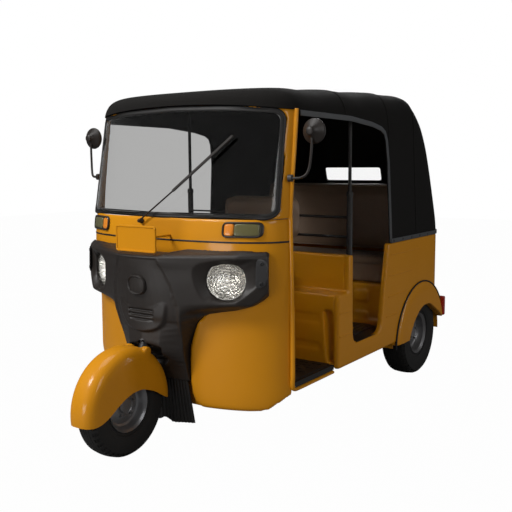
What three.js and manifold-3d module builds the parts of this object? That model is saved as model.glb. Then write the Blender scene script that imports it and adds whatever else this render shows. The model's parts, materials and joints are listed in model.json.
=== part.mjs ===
// Passenger auto rickshaw: a three-wheeled taxi with a pressed steel body and a canvas hood.
// Millimetres, +Z up, nose towards -Y, the vehicle's left side towards +X.
// Lengthwise stations are measured from the front axle, and the whole vehicle is then
// shifted so that the origin lies on the ground under the middle of its box.

import * as THREE from 'three';
import { mergeVertices } from 'three/addons/utils/BufferGeometryUtils.js';
import Module from 'manifold-3d';

const wasm = await Module();
wasm.setup();

// ---------------------------------------------------------------- driving dimensions

const GAP = 0.3;

const WHEELBASE = 2000;
const TYRE_R = 233;
const TYRE_HALF = 57;
const BEAD_R = 120;
const REAR_TYRE_R = 256;
const REAR_TYRE_HALF = 75;
const REAR_BEAD_R = 128;
const REAR_TRACK_HALF = 530;

const STEER_RAKE = THREE.MathUtils.degToRad(28);
const STEER_FOOT_Y = 30;
const COLUMN_R = 25;

const GUARD_R = 268;
const GUARD_HALF = 78;
const GUARD_WALL = 4;

const SKIN = 8;
const BODY_HALF = 632;
const BODY_REAR_Y = WHEELBASE + 336;
const BODY_CORNER_R = 212;
const BODY_TOP_Z = 868;
const SILL_Z = 281;

const COWL_TRAIL_Y = 500;
const COWL_TOP_Z = 1066;
const RECESS_REAR_Y = 322;

const SCREEN_HALF = 548;
const SCREEN_BOTTOM_Z = 1092;
const SCREEN_TOP_Z = 1548;

const FLOOR_Z = 306;
const FLOOR_LIP_Z = 281;
const CABIN_FLOOR_Z = 382;
const DRIVER_BOX_FRONT_Y = 885;
const BULKHEAD_FRONT_Y = 990;
const BULKHEAD_REAR_Y = 1041;
const BULKHEAD_TOP_Z = 848;
const DRIVER_SEAT_Z = 660;
const SEAT_BASE_FRONT_Y = WHEELBASE - 440;
const SEAT_BACK_FOOT_Y = WHEELBASE - 42;
const SEAT_BASE_TOP_Z = 616;
const POLE_Y = 1170;
const POLE_X = 539;

const RAIL_TOP_Z = 277;
const RAIL_DEPTH = 55;
const RAIL_X = [250, 300];
const KICK_Z = 340;
const ARM_PIVOT_Y = WHEELBASE - 360;
const ARM_PIVOT_Z = 262;
const BUMPER_Y = BODY_REAR_Y + 6;
const BUMPER_R = 18;
const DOOR_REAR_Y = WHEELBASE - 526;

// The hood's plan rings, from the rail up to the crown. rear is how far the ring's back stands
// ahead of the body's rear, and slope is the share of the roof's lengthwise rise it takes up.
const ROOF_RISE = 0.045;
const HOOD_RINGS = [
  { z: 868, half: 632, front: 300, rear: 0, slope: 0 },
  { z: 960, half: 628, front: 300, rear: 8, slope: 0 },
  { z: 1120, half: 620, front: 300, rear: 48, slope: 0 },
  { z: 1280, half: 612, front: 330, rear: 94, slope: 0 },
  { z: 1400, half: 607, front: 355, rear: 142, slope: 0.05 },
  { z: 1500, half: 602, front: 372, rear: 208, slope: 0.2 },
  { z: 1556, half: 593, front: 378, rear: 272, slope: 0.5 },
  { z: 1594, half: 578, front: 382, rear: 326, slope: 0.75 },
  { z: 1624, half: 554, front: 393, rear: 384, slope: 0.95 },
  { z: 1644, half: 516, front: 418, rear: 450, slope: 1 },
  { z: 1655, half: 460, front: 465, rear: 560, slope: 1 },
  { z: 1662, half: 360, front: 570, rear: 710, slope: 1 },
  { z: 1667, half: 200, front: 770, rear: 940, slope: 1 },
];

// The front skin's plan rings. depth is how far the nose stands ahead of the ring's centre, and
// power rounds its corners.
const COWL_CENTRE_Y = 575;
const COWL_RINGS = [
  { z: 172, half: 572, depth: 268, power: 2.2 },
  { z: 181, half: 598, depth: 292, power: 2.18 },
  { z: 205, half: 608, depth: 301, power: 2.15 },
  { z: 300, half: 612, depth: 303, power: 2.15 },
  { z: 560, half: 611, depth: 303, power: 2.15 },
  { z: 680, half: 608, depth: 303, power: 2.35 },
  { z: 774, half: 606, depth: 303, power: 2.5 },
  { z: 880, half: 604, depth: 303, power: 2.73 },
  { z: 956, half: 602, depth: 303, power: 2.73 },
  { z: COWL_TOP_Z, half: 600, depth: 288, power: 2.7 },
];

// The fairing's plan rings: its middle's y, its ridge, its waist and its end, each [x, y].
const FAIRING_RINGS = [
  { z: 600, middle: 139, ridge: [197, 185], waist: [222, 268], end: [552, 408] },
  { z: 636, middle: 131, ridge: [203, 179], waist: [240, 262], end: [553, 405] },
  { z: 655, middle: 127, ridge: [203, 176], waist: [300, 256], end: [556, 392] },
  { z: 676, middle: 124, ridge: [202, 173], waist: [430, 280], end: [559, 372] },
  { z: 690, middle: 122, ridge: [201, 171], waist: [450, 272], end: [560, 366] },
  { z: 774, middle: 113, ridge: [179, 152], waist: [450, 272], end: [560, 366] },
  { z: 897, middle: 111, ridge: [126, 117], waist: [450, 272], end: [560, 366] },
  { z: 908, middle: 140, ridge: [126, 143], waist: [450, 280], end: [559, 370] },
  { z: 920, middle: 225, ridge: [126, 227], waist: [450, 300], end: [556, 385] },
  { z: 934, middle: 262, ridge: [126, 264], waist: [450, 330], end: [545, 405] },
];

// The fairing's neck between the cheeks: the ridge leans back and narrows down to the flap.
const NECK_RINGS = [
  { z: 300, middle: 268, ridge: [168, 277] },
  { z: 360, middle: 240, ridge: [173, 256] },
  { z: 420, middle: 170, ridge: [178, 234] },
  { z: 454, middle: 140, ridge: [181, 224] },
  { z: 510, middle: 132, ridge: [186, 207] },
  { z: 600, middle: 139, ridge: [197, 185] },
  { z: 639, middle: 131, ridge: [203, 179] },
];

// ---------------------------------------------------------------- materials

const paint = (color, roughness, metalness = 0) =>
  new THREE.MeshStandardMaterial({ color, roughness, metalness });

const YELLOW = paint(0xd8920c, 0.35);
const BLACK_PLASTIC = paint(0x1c1b1b, 0.5);
const CANVAS = paint(0x0d0d0d, 0.9);
const RUBBER = paint(0x121212, 0.8);
const TYRE = paint(0x151515, 0.85);
const STEEL = paint(0x2a2a2c, 0.5, 0.5);
const SILVER = paint(0x8d8f92, 0.35, 0.8);
const GREY_FLANGE = paint(0x4a4c50, 0.55);
const LEATHER = paint(0x33261f, 0.6);
const GLASS = paint(0xbfc4c4, 0.05);
const LAMP_GLASS = paint(0xe6e6df, 0.1);
const AMBER = paint(0xd9761a, 0.2);
const RED = paint(0xa01414, 0.2);

// ---------------------------------------------------------------- geometry helpers

function solid(geometry) {
  const bare = geometry.clone();
  bare.deleteAttribute('normal');
  bare.deleteAttribute('uv');
  const merged = mergeVertices(bare, 1e-3);
  return new wasm.Manifold(new wasm.Mesh({
    numProp: 3,
    vertProperties: new Float32Array(merged.attributes.position.array),
    triVerts: new Uint32Array(merged.index.array),
  }));
}

function toGeometry(shape) {
  const mesh = shape.getMesh();
  const geometry = new THREE.BufferGeometry();
  geometry.setAttribute('position', new THREE.BufferAttribute(mesh.vertProperties, 3));
  geometry.setIndex(new THREE.BufferAttribute(mesh.triVerts, 1));
  return geometry;
}

function mirrored(shape) {
  const geometry = toGeometry(shape);
  geometry.scale(-1, 1, 1);
  const index = geometry.index.array;
  for (let i = 0; i < index.length; i += 3) {
    [index[i], index[i + 1]] = [index[i + 1], index[i]];
  }
  return solid(geometry);
}

const largest = (shape) =>
  shape.decompose().reduce((best, piece) => (piece.volume() > best.volume() ? piece : best));

const union = (...shapes) => shapes.reduce((sum, shape) => sum.add(shape));

function box(x, y, z) {
  const geometry = new THREE.BoxGeometry(x[1] - x[0], y[1] - y[0], z[1] - z[0]);
  geometry.translate((x[0] + x[1]) / 2, (y[0] + y[1]) / 2, (z[0] + z[1]) / 2);
  return solid(geometry);
}

// Extrudes a flat outline along one axis. The outline holds [y, z] along x,
// [x, z] along y and [x, y] along z.
function prism(axis, outline, from, to) {
  const shape = new THREE.Shape(outline.map(([a, b]) => new THREE.Vector2(a, b)));
  const geometry = new THREE.ExtrudeGeometry(shape, { depth: to - from, bevelEnabled: false });
  const turn = new THREE.Matrix4();
  if (axis === 'x') {
    turn.set(0, 0, 1, from, 1, 0, 0, 0, 0, 1, 0, 0, 0, 0, 0, 1);
  } else if (axis === 'y') {
    turn.set(1, 0, 0, 0, 0, 0, -1, to, 0, 1, 0, 0, 0, 0, 0, 1);
  } else {
    turn.makeTranslation(0, 0, from);
  }
  geometry.applyMatrix4(turn);
  return solid(geometry);
}

// Rounds every corner of an outline with an arc that takes at most `radius` of each side.
function rounded(outline, radius, steps = 4) {
  const points = outline.map(([a, b]) => new THREE.Vector2(a, b));
  const result = [];
  points.forEach((corner, i) => {
    const before = points[(i + points.length - 1) % points.length];
    const after = points[(i + 1) % points.length];
    const reachIn = Math.min(radius, corner.distanceTo(before) / 2);
    const reachOut = Math.min(radius, corner.distanceTo(after) / 2);
    const start = corner.clone().lerp(before, reachIn / corner.distanceTo(before));
    const end = corner.clone().lerp(after, reachOut / corner.distanceTo(after));
    const bend = new THREE.QuadraticBezierCurve(start, corner, end);
    bend.getPoints(steps).forEach((p) => result.push([p.x, p.y]));
  });
  return result;
}

const rectangle = (a, b) => [[a[0], b[0]], [a[1], b[0]], [a[1], b[1]], [a[0], b[1]]];

// Joins a stack of rings, each with the same number of [x, y, z] points, into a closed body.
function loft(rings) {
  const count = rings[0].length;
  const positions = rings.flat(2);
  const centre = (ring) => [0, 1, 2].map((k) => ring.reduce((sum, p) => sum + p[k], 0) / count);
  const bottom = positions.length / 3;
  positions.push(...centre(rings[0]));
  positions.push(...centre(rings[rings.length - 1]));
  const index = [];
  for (let r = 0; r + 1 < rings.length; r += 1) {
    for (let i = 0; i < count; i += 1) {
      const a = r * count + i;
      const b = r * count + ((i + 1) % count);
      index.push(a, b, b + count, a, b + count, a + count);
    }
  }
  const top = (rings.length - 1) * count;
  for (let i = 0; i < count; i += 1) {
    const next = (i + 1) % count;
    index.push(bottom, next, i);
    index.push(bottom + 1, top + i, top + next);
  }
  const geometry = new THREE.BufferGeometry();
  geometry.setAttribute('position', new THREE.Float32BufferAttribute(positions, 3));
  geometry.setIndex(index);
  return solid(geometry);
}

function cylinder(from, to, radius, sides = 20, endRadius = radius) {
  const a = new THREE.Vector3(...from);
  const b = new THREE.Vector3(...to);
  const geometry = new THREE.CylinderGeometry(endRadius, radius, a.distanceTo(b), sides);
  const along = new THREE.Vector3().subVectors(b, a).normalize();
  const turn = new THREE.Quaternion().setFromUnitVectors(new THREE.Vector3(0, 1, 0), along);
  geometry.applyQuaternion(turn);
  geometry.translate((a.x + b.x) / 2, (a.y + b.y) / 2, (a.z + b.z) / 2);
  return solid(geometry);
}

function tube(points, radius, steps = 16, sides = 8) {
  const path = new THREE.CatmullRomCurve3(points.map((p) => new THREE.Vector3(...p)));
  const section = new THREE.Shape();
  for (let i = 0; i < sides; i += 1) {
    const angle = (2 * Math.PI * i) / sides;
    const point = [radius * Math.cos(angle), radius * Math.sin(angle)];
    if (i === 0) {
      section.moveTo(...point);
    } else {
      section.lineTo(...point);
    }
  }
  section.closePath();
  return solid(new THREE.ExtrudeGeometry(section, { steps, extrudePath: path }));
}

// Turns a [radius, x] profile about a line along X through the given centre.
function turnedAboutX(profile, centre, segments) {
  const points = profile.map(([r, x]) => new THREE.Vector2(r, x));
  const geometry = new THREE.LatheGeometry(points, segments);
  geometry.rotateZ(-Math.PI / 2);
  geometry.translate(...centre);
  const shape = solid(geometry);
  return shape.volume() > 0 ? shape : flipped(geometry);
}

function flipped(geometry) {
  const index = geometry.index.array;
  for (let i = 0; i < index.length; i += 3) {
    [index[i], index[i + 1]] = [index[i + 1], index[i]];
  }
  return solid(geometry);
}

// ---------------------------------------------------------------- the scene graph

const vehicle = new THREE.Group();
const stations = new THREE.Group();
stations.position.y = -(BUMPER_Y + BUMPER_R - GUARD_R) / 2;
vehicle.add(stations);

function add(name, shape, material) {
  const mesh = new THREE.Mesh(toGeometry(shape), material);
  mesh.name = name;
  stations.add(mesh);
}

function addPair(name, leftShape, material) {
  add(`${name}_left`, leftShape, material);
  add(`${name}_right`, mirrored(leftShape), material);
}

// ---------------------------------------------------------------- front skin volumes

const FRONT_STEPS = 16;

// One plan ring of the front skin: a superellipse nose up to ring.rear, and straight sides for
// a further reach.
function noseRing(ring, z, inset, reach) {
  const half = ring.half - inset;
  const depth = ring.depth - inset;
  const rearShare = (ring.centre - ring.rear) / ring.depth;
  const start = Math.asin(rearShare ** (ring.power / 2));
  const points = [];
  for (let i = 0; i <= FRONT_STEPS; i += 1) {
    const angle = start + ((Math.PI - 2 * start) * i) / FRONT_STEPS;
    const across = Math.sign(Math.cos(angle)) * Math.abs(Math.cos(angle)) ** (2 / ring.power);
    const ahead = depth * Math.sin(angle) ** (2 / ring.power);
    points.push([-half * across, ring.centre - ahead, z]);
  }
  if (reach > 0) {
    const side = points[FRONT_STEPS][0];
    points.push([side, ring.rear + reach, z], [-side, ring.rear + reach, z]);
  }
  return points;
}

// The front skin as a solid. A positive inset gives the hollow inside a wall that thick, and a
// negative one the outside of a piece that stands on the skin.
function cowlVolume(inset, reach = 0) {
  const rings = COWL_RINGS.map((ring) => ({ ...ring, centre: COWL_CENTRE_Y, rear: COWL_TRAIL_Y }));
  const layers = rings.map((ring, i) =>
    noseRing(ring, i < 2 ? ring.z + inset : ring.z, inset, reach));
  if (inset > 0) {
    const last = rings[rings.length - 1];
    layers.push(noseRing(last, last.z + 20, inset, reach));
  }
  return loft(layers);
}

const steerAt = (z) => STEER_FOOT_Y + (z - TYRE_R) * Math.tan(STEER_RAKE);

function onSteerAxis(z, radius, toZ, sides = 20) {
  return cylinder([0, steerAt(z), z], [0, steerAt(toZ), toZ], radius, sides);
}

// Half of the recess between the cheeks, seen from the front: [x, z] going up.
const RECESS_EDGE = [
  [262, 150], [220, 179], [196, 204], [176, 242], [170, 300], [165, 409], [169, 465],
  [188, 523], [211, 580], [232, 604], [250, 618], [250, 640],
];

const recessHalf = (z) => {
  const i = RECESS_EDGE.findIndex(([, edgeZ]) => edgeZ >= z);
  const [low, high] = [RECESS_EDGE[i - 1], RECESS_EDGE[i]];
  return THREE.MathUtils.mapLinear(z, low[1], high[1], low[0], high[0]);
};

const mirroredOutline = (half) => half.concat(half.slice().reverse().map(([x, z]) => [-x, z]));

function recessVolume(grow) {
  const half = RECESS_EDGE.map(([x, z]) => [x + grow, z]);
  half[half.length - 1][1] += grow;
  return prism('y', mirroredOutline(half), -100, RECESS_REAR_Y + grow);
}

// Moves an anticlockwise outline inwards by the given distance.
function insetOutline(outline, distance) {
  const count = outline.length;
  return outline.map(([x, z], i) => {
    const [ax, az] = outline[(i + count - 1) % count];
    const [bx, bz] = outline[(i + 1) % count];
    const before = new THREE.Vector2(az - z, x - ax).normalize();
    const after = new THREE.Vector2(z - bz, bx - x).normalize();
    const bisector = before.clone().add(after).normalize();
    const reach = distance / Math.max(bisector.dot(before), 0.5);
    return [x + bisector.x * reach, z + bisector.y * reach];
  });
}

// The cheeks' lower rear corner is cut away up to the sill.
const SILL_BOTTOM_Z = 248;
const HEEL = [[388, 160], [396, 172], [430, 195], [469, 232], [500, SILL_BOTTOM_Z]];

function heelCut(grow) {
  const outline = HEEL.map(([y, z]) => [y - grow, z + grow]);
  return prism('x', [...outline, [620, SILL_BOTTOM_Z + grow], [620, 120], [388 - grow, 120]],
    -700, 700);
}

// ---------------------------------------------------------------- front body

const LAMP = { x: 392, y: 273, z: 794, radius: 89, cup: 97, toeOut: THREE.MathUtils.degToRad(27) };
const HEAD_Z = [640, 765];

function alongLamp(from, to, radius, endRadius = radius) {
  const at = (s) => [
    LAMP.x + s * Math.sin(LAMP.toeOut), LAMP.y - s * Math.cos(LAMP.toeOut), LAMP.z,
  ];
  return cylinder(at(from), at(to), radius, 24, endRadius);
}

const bothSides = (shape) => union(shape, mirrored(shape));

function makeCowl() {
  const outer = cowlVolume(0).subtract(recessVolume(0)).subtract(heelCut(0));
  const inner = cowlVolume(SKIN, 60).subtract(recessVolume(SKIN))
    .subtract(heelCut(SKIN));
  const headSlot = box([-46, 46], [150, RECESS_REAR_Y + SKIN - 1], [HEAD_Z[0] - 30, HEAD_Z[1] + 30]);
  const railSlot = box([RAIL_X[0] - 3, RAIL_X[1] + 3], [430, COWL_TRAIL_Y + 10],
    [RAIL_TOP_Z - RAIL_DEPTH - 3, RAIL_TOP_Z + 3]);
  const lampHoles = bothSides(alongLamp(-120, 120, LAMP.cup + 2));
  const sill = prism('x', [
    [COWL_TRAIL_Y - 4, SILL_BOTTOM_Z], [567, 255], [640, 261], [745, 268],
    [DRIVER_BOX_FRONT_Y - GAP, 271], [DRIVER_BOX_FRONT_Y - GAP, FLOOR_LIP_Z - GAP],
    [COWL_TRAIL_Y - 4, FLOOR_LIP_Z - GAP],
  ], 588, 606);
  return outer.subtract(inner).subtract(headSlot).subtract(bothSides(railSlot))
    .subtract(lampHoles).add(bothSides(sill));
}

// Half of the fairing's outline, seen from the front: [x, z] from the notch down.
const FAIRING_EDGE = [
  [112, 905], [130, 916], [180, 926], [510, 931], [540, 926], [556, 905], [561, 870], [561, 762],
  [551, 735], [526, 705], [492, 680], [422, 657], [346, 643], [285, 631], [250, 616], [214, 590],
];

const FAIRING_WALL = 8;

// The lamp's dish in the lamp's own plane: [across, up] of its rim on the fairing's face. The
// rim lies ahead of the lens, less so beyond the face's bend. The brow covers the lens's top.
const DISH_RIM = [
  [163, 71], [150, 99], [25, 99], [-80, 89], [-125, 79], [-155, 60], [-158, 30], [-150, -23],
  [-133, -75], [-113, -100], [-37, -101], [45, -92], [82, -71], [127, -35], [160, -3],
];
const BROW_UP = 69;
const DISH_DEPTH = 25;
const DISH_BEND = 65;

function makeDish() {
  const place = ([across, up], ahead) => [
    LAMP.x + across * Math.cos(LAMP.toeOut) + ahead * Math.sin(LAMP.toeOut),
    LAMP.y + across * Math.sin(LAMP.toeOut) - ahead * Math.cos(LAMP.toeOut),
    LAMP.z + up,
  ];
  const lens = DISH_RIM.map(([across, up]) => {
    const scale = (LAMP.radius + 0.5) / Math.hypot(across, up);
    return [across * scale, Math.min(up * scale, BROW_UP)];
  });
  const aheadAt = ([across]) =>
    THREE.MathUtils.clamp((DISH_DEPTH * (DISH_RIM[0][0] - across)) / (DISH_RIM[0][0] - DISH_BEND),
      0.5, DISH_DEPTH);
  return loft([
    lens.map((point) => place(point, -2)),
    DISH_RIM.map((point) => place(point, aheadAt(point))),
    DISH_RIM.map((point) => place(point, aheadAt(point) + 60)),
  ]);
}

// A plan ring of the fairing or its neck. The points run from one rear corner round the nose.
function fairingRing({ middle, ridge, waist, end, tail }, z, inset, rear) {
  const bulged = (share) => middle + (ridge[1] - middle) * share * share + inset;
  const right = [
    [ridge[0] / 2, bulged(0.5)], [ridge[0] - inset / 2, ridge[1] + inset],
    [waist[0] - inset / 2, waist[1] + inset], [end[0] - inset, end[1] + inset],
    [tail - inset, rear],
  ];
  const left = right.slice().reverse().map(([x, y]) => [-x, y]);
  return [...left, [0, bulged(0)], ...right].map(([x, y]) => [x, y, z]);
}

function fairingVolume(inset) {
  return loft(FAIRING_RINGS.map((ring) =>
    fairingRing({ ...ring, tail: ring.end[0] - 60 }, ring.z, inset, 470)));
}

function neckVolume(inset, rear) {
  return loft(NECK_RINGS.map((ring, i) => {
    const side = recessHalf(ring.z) - GAP;
    const z = i === 0 || i === NECK_RINGS.length - 1 ? ring.z - Math.sign(i - 0.5) * inset : ring.z;
    const sides = { waist: [side, 284], end: [side, 300], tail: side };
    return fairingRing({ ...ring, ...sides }, z, inset, rear);
  }));
}

// The room that the turning wheel, mudguard and fork sweep: [radius, height] on the steer axis.
const STEER_ROOM = [
  [0, 40], [224, 40], [224, 112], [212, 132], [195, 152], [182, 166], [158, 192], [134, 214],
  [126, 222], [126, 247], [96, 251], [96, 274], [33, 277], [0, 277],
];

function makeSteerRoom() {
  const geometry = new THREE.LatheGeometry(
    STEER_ROOM.map(([radius, height]) => new THREE.Vector2(radius, height)), 32);
  geometry.rotateX(Math.PI / 2 - STEER_RAKE);
  geometry.translate(0, STEER_FOOT_Y, TYRE_R);
  return solid(geometry);
}

function makeFairing() {
  const outline = mirroredOutline(FAIRING_EDGE);
  const face = prism('y', outline, -100, 460);
  const cavityFace = prism('y', insetOutline(outline, FAIRING_WALL), -100, 465);
  const shell = fairingVolume(0).intersect(face);
  const cavity = fairingVolume(FAIRING_WALL).intersect(cavityFace);
  const skin = cowlVolume(-GAP, 50).subtract(recessVolume(-GAP));
  const neck = neckVolume(0, RECESS_REAR_Y - GAP);
  const neckCavity = neckVolume(FAIRING_WALL, RECESS_REAR_Y - GAP - FAIRING_WALL);
  const cups = bothSides(alongLamp(-80, 40, LAMP.cup)).intersect(fairingVolume(0));
  const bores = bothSides(alongLamp(-120, 0.5, LAMP.radius + 0.4));
  const columnRoom = onSteerAxis(430, COLUMN_R + 6, 700);
  return largest(shell.add(neck).subtract(cavity).subtract(neckCavity).subtract(skin).add(cups)
    .subtract(bores).subtract(bothSides(makeDish())).subtract(makeSteerRoom())
    .subtract(columnRoom));
}

function makeHeadlamp() {
  const dome = alongLamp(-18, -2.3, LAMP.radius, LAMP.radius * 0.72);
  return alongLamp(-78, -17.9, LAMP.radius).add(dome);
}

const PLATE = { half: 122, z: [917, 1038], y: [114, 122], rim: 12 };

function makePlate() {
  const { half, z, y, rim } = PLATE;
  const plate = box([-half, half], y, z);
  const field = box([-half + rim, half - rim], [y[0] - 10, y[0] + 3], [z[0] + rim, z[1] - rim]);
  const arms = union(...[-60, 40].map((x) => box([x, x + 20], [y[1] - 1, 285], [985, 997])));
  return plate.subtract(field).add(arms.subtract(cowlVolume(-GAP, 50)));
}

const INDICATOR = { x: [354, 524], z: [985, 1055], depth: 14 };

function makeIndicator() {
  const face = prism('y', rounded(rectangle(INDICATOR.x, INDICATOR.z), 14), 150, 480);
  const proud = cowlVolume(-INDICATOR.depth, 10);
  return proud.intersect(face).subtract(cowlVolume(-GAP, 50));
}

// ---------------------------------------------------------------- windscreen

const headerZ = (x) => 1590 - 38 * (x / 600) ** 2;

const SCREEN_RINGS = [
  { z: COWL_TOP_Z + GAP, half: 598, centre: 545, depth: 257, power: 2.73, rear: 500 },
  { z: 1250, half: 599, centre: 578, depth: 250, power: 2.73, rear: 519 },
  { z: 1430, half: 598, centre: 609, depth: 243, power: 2.73, rear: 544 },
  { z: 1600, half: 594, centre: 638, depth: 236, power: 2.73, rear: 568 },
];

function screenVolume(inset, reach = 0) {
  return loft(SCREEN_RINGS.map((ring, i) => {
    const overrun = inset > 0 ? [-20, 0, 0, 20][i] : 0;
    return noseRing(ring, ring.z + overrun, inset, reach);
  }));
}

function belowHeader(extra, y) {
  const outline = [[-700, 1000], [700, 1000]];
  for (let i = 12; i >= -12; i -= 1) {
    const x = (700 * i) / 12;
    outline.push([x, headerZ(x) + extra]);
  }
  return prism('y', outline, ...y);
}

const screenOutline = (grow) => rounded([
  [-SCREEN_HALF - grow, SCREEN_BOTTOM_Z - grow], [SCREEN_HALF + grow, SCREEN_BOTTOM_Z - grow],
  [SCREEN_HALF - 14 + grow, SCREEN_TOP_Z - 18 + grow], [0, SCREEN_TOP_Z + 8 + grow],
  [-SCREEN_HALF + 14 - grow, SCREEN_TOP_Z - 18 + grow],
], 45, 4);

function makeWindscreen() {
  const glassCut = prism('y', screenOutline(0), 150, 500);
  const sealCut = prism('y', screenOutline(24), 150, 496);
  const frame = screenVolume(0).subtract(screenVolume(26, 40))
    .intersect(belowHeader(0, [100, 700])).subtract(sealCut);
  const sealBand = screenVolume(-5).subtract(screenVolume(14, 40));
  const seal = sealBand.intersect(prism('y', screenOutline(24 - GAP), 150, 496 - GAP))
    .intersect(belowHeader(-1, [100, 700]))
    .subtract(glassCut);
  const glass = screenVolume(1).subtract(screenVolume(6, 40))
    .intersect(prism('y', screenOutline(-GAP), 150, 500 - GAP));
  return { frame, seal, glass };
}

// ---------------------------------------------------------------- rear body

// Plan outline of the rear body: straight sides and rounded rear corners.
function bodyPlan(grow, frontY) {
  const half = BODY_HALF + grow;
  const rear = BODY_REAR_Y + grow;
  const radius = BODY_CORNER_R + grow;
  const outline = [[half, frontY]];
  for (let i = 0; i <= 8; i += 1) {
    const angle = (Math.PI * i) / 16;
    outline.push([
      half - radius + radius * Math.cos(angle), rear - radius + radius * Math.sin(angle),
    ]);
  }
  return outline.concat(outline.slice().reverse().map(([x, y]) => [-x, y]));
}

const TAIL_LAMP = { x: [588, 650], y: WHEELBASE + 282, z: [330, 440] };
const FENDER = {
  y: WHEELBASE - 55, z: 240, reachY: 368, reachZ: 352, proud: 18, inner: 430, wall: 8, lap: 14,
};

// The wheel opening in the fender, in side view: [y behind the rear axle, z].
const OPENING = [
  [-262, 100], [-256, 258], [-244, 290], [-222, 322], [-190, 362], [-146, 400], [-90, 432],
  [-20, 446], [46, 443], [102, 418], [190, 372], [252, 335], [400, 247], [400, 100],
];

function archOutline(radiusY, radiusZ, y, z, floorZ, steps = 20) {
  const outline = [[y + radiusY, floorZ]];
  for (let i = 0; i <= steps; i += 1) {
    const angle = (Math.PI * i) / steps;
    outline.push([y + radiusY * Math.cos(angle), z + radiusZ * Math.sin(angle)]);
  }
  outline.push([y - radiusY, floorZ]);
  return outline;
}

const doorOutline = rounded([
  [BULKHEAD_REAR_Y, BODY_TOP_Z + 60], [BULKHEAD_REAR_Y + 6, CABIN_FLOOR_Z],
  [DOOR_REAR_Y - 100, CABIN_FLOOR_Z], [DOOR_REAR_Y - 63, 600], [DOOR_REAR_Y, BODY_TOP_Z + 60],
], 62, 5);

const SPLIT_X = 412;

function makeSidePanels() {
  const walls = prism('z', bodyPlan(0, DRIVER_BOX_FRONT_Y), SILL_Z, BODY_TOP_Z)
    .subtract(prism('z', bodyPlan(-SKIN, DRIVER_BOX_FRONT_Y - 5), SILL_Z - 5, BODY_TOP_Z + 5));
  const doors = prism('x', doorOutline, -700, 700);
  const step = prism('x', [
    [DRIVER_BOX_FRONT_Y - 20, DRIVER_SEAT_Z], [BULKHEAD_FRONT_Y, DRIVER_SEAT_Z],
    [BULKHEAD_FRONT_Y, BODY_TOP_Z + 20], [DRIVER_BOX_FRONT_Y - 20, BODY_TOP_Z + 20],
  ], -700, 700);
  const shoulder = box([-700, 700], [BULKHEAD_FRONT_Y - 1, BULKHEAD_REAR_Y + 20],
    [BULKHEAD_TOP_Z, BODY_TOP_Z + 20]);
  const arches = prism('x',
    archOutline(FENDER.reachY - FENDER.lap, FENDER.reachZ - FENDER.lap, FENDER.y, FENDER.z, 150),
    -700, 700);
  const cut = walls.subtract(doors).subtract(step).subtract(shoulder).subtract(arches);
  const rearZone = [BODY_REAR_Y - 300, BODY_REAR_Y + 60];
  const left = cut.intersect(box([SPLIT_X + GAP, 700], [800, rearZone[1]], [200, 1000]));
  const lidHole = prism('y', rounded(rectangle([-LID.half - 6, LID.half + 6],
    [LID.z[0] - 6, LID.z[1] + 14]), 20), ...rearZone);
  const knuckle = cylinder([-169.4, LID.hingeY, LID.hingeZ], [169.4, LID.hingeY, LID.hingeZ], 6, 12)
    .add(box([-169.4, 169.4], [BODY_REAR_Y - 1, BODY_REAR_Y + 5], [LID.hingeZ + 1, LID.hingeZ + 8]));
  const platePad = box([-170, 170], [BODY_REAR_Y - 1, BODY_REAR_Y + 5], [300, 400]);
  const rear = cut.intersect(box([-SPLIT_X, SPLIT_X], rearZone, [200, 1000]))
    .subtract(lidHole).add(knuckle).add(platePad);
  return { left, rear };
}

const LID = { half: 325, z: [425, 798], hingeY: BODY_REAR_Y + 5, hingeZ: 807 };

function makeLid() {
  const panel = prism('y', rounded(rectangle([-LID.half, LID.half], LID.z), 18),
    BODY_REAR_Y - 6, BODY_REAR_Y);
  const louvres = union(...[520, 560, 600, 640].map((z) =>
    box([-200, 200], [BODY_REAR_Y - 1, BODY_REAR_Y + 5], [z, z + 14])));
  const barrels = union(...[-230, 170].map((x) => union(
    cylinder([x, LID.hingeY, LID.hingeZ], [x + 60, LID.hingeY, LID.hingeZ], 6, 12),
    box([x, x + 60], [BODY_REAR_Y - 4, BODY_REAR_Y + 3], [LID.z[1] - 10, LID.hingeZ]),
  )));
  return union(panel, louvres, barrels);
}

// The fender's bulge laps over the body side, and its wheelhouse passes through the side's arch.
function makeFender() {
  const arch = (inset) => archOutline(FENDER.reachY - inset, FENDER.reachZ - inset,
    FENDER.y, FENDER.z, 140);
  const half = BODY_HALF + FENDER.proud;
  const swell = [[GAP, 0], [FENDER.proud * 0.45, 8], [FENDER.proud * 0.8, 26], [FENDER.proud, 52]];
  const bulge = loft(swell.map(([proud, inset]) =>
    arch(inset).map(([y, z]) => [BODY_HALF + proud, y, z])));
  const house = prism('x', arch(FENDER.lap + GAP), FENDER.inner, BODY_HALF + 1);
  const hollow = prism('x', arch(FENDER.lap + FENDER.wall), FENDER.inner - 30, half - 6);
  const opening = OPENING.map(([y, z]) => [WHEELBASE + y, z]);
  const wheel = prism('x', opening, FENDER.inner - 30, half + 10);
  const tail = box([FENDER.inner - 40, half + 50], [FENDER.y - FENDER.reachY - 10, TAIL_LAMP.y],
    [262, 700]);
  const lampBox = box([TAIL_LAMP.x[0], half], [TAIL_LAMP.y - 36, TAIL_LAMP.y], TAIL_LAMP.z)
    .subtract(prism('z', bodyPlan(GAP, BODY_REAR_Y - 300), 300, 500));
  return union(bulge, house).subtract(hollow).subtract(wheel).intersect(tail).add(lampBox);
}

// ---------------------------------------------------------------- canvas hood

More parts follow.
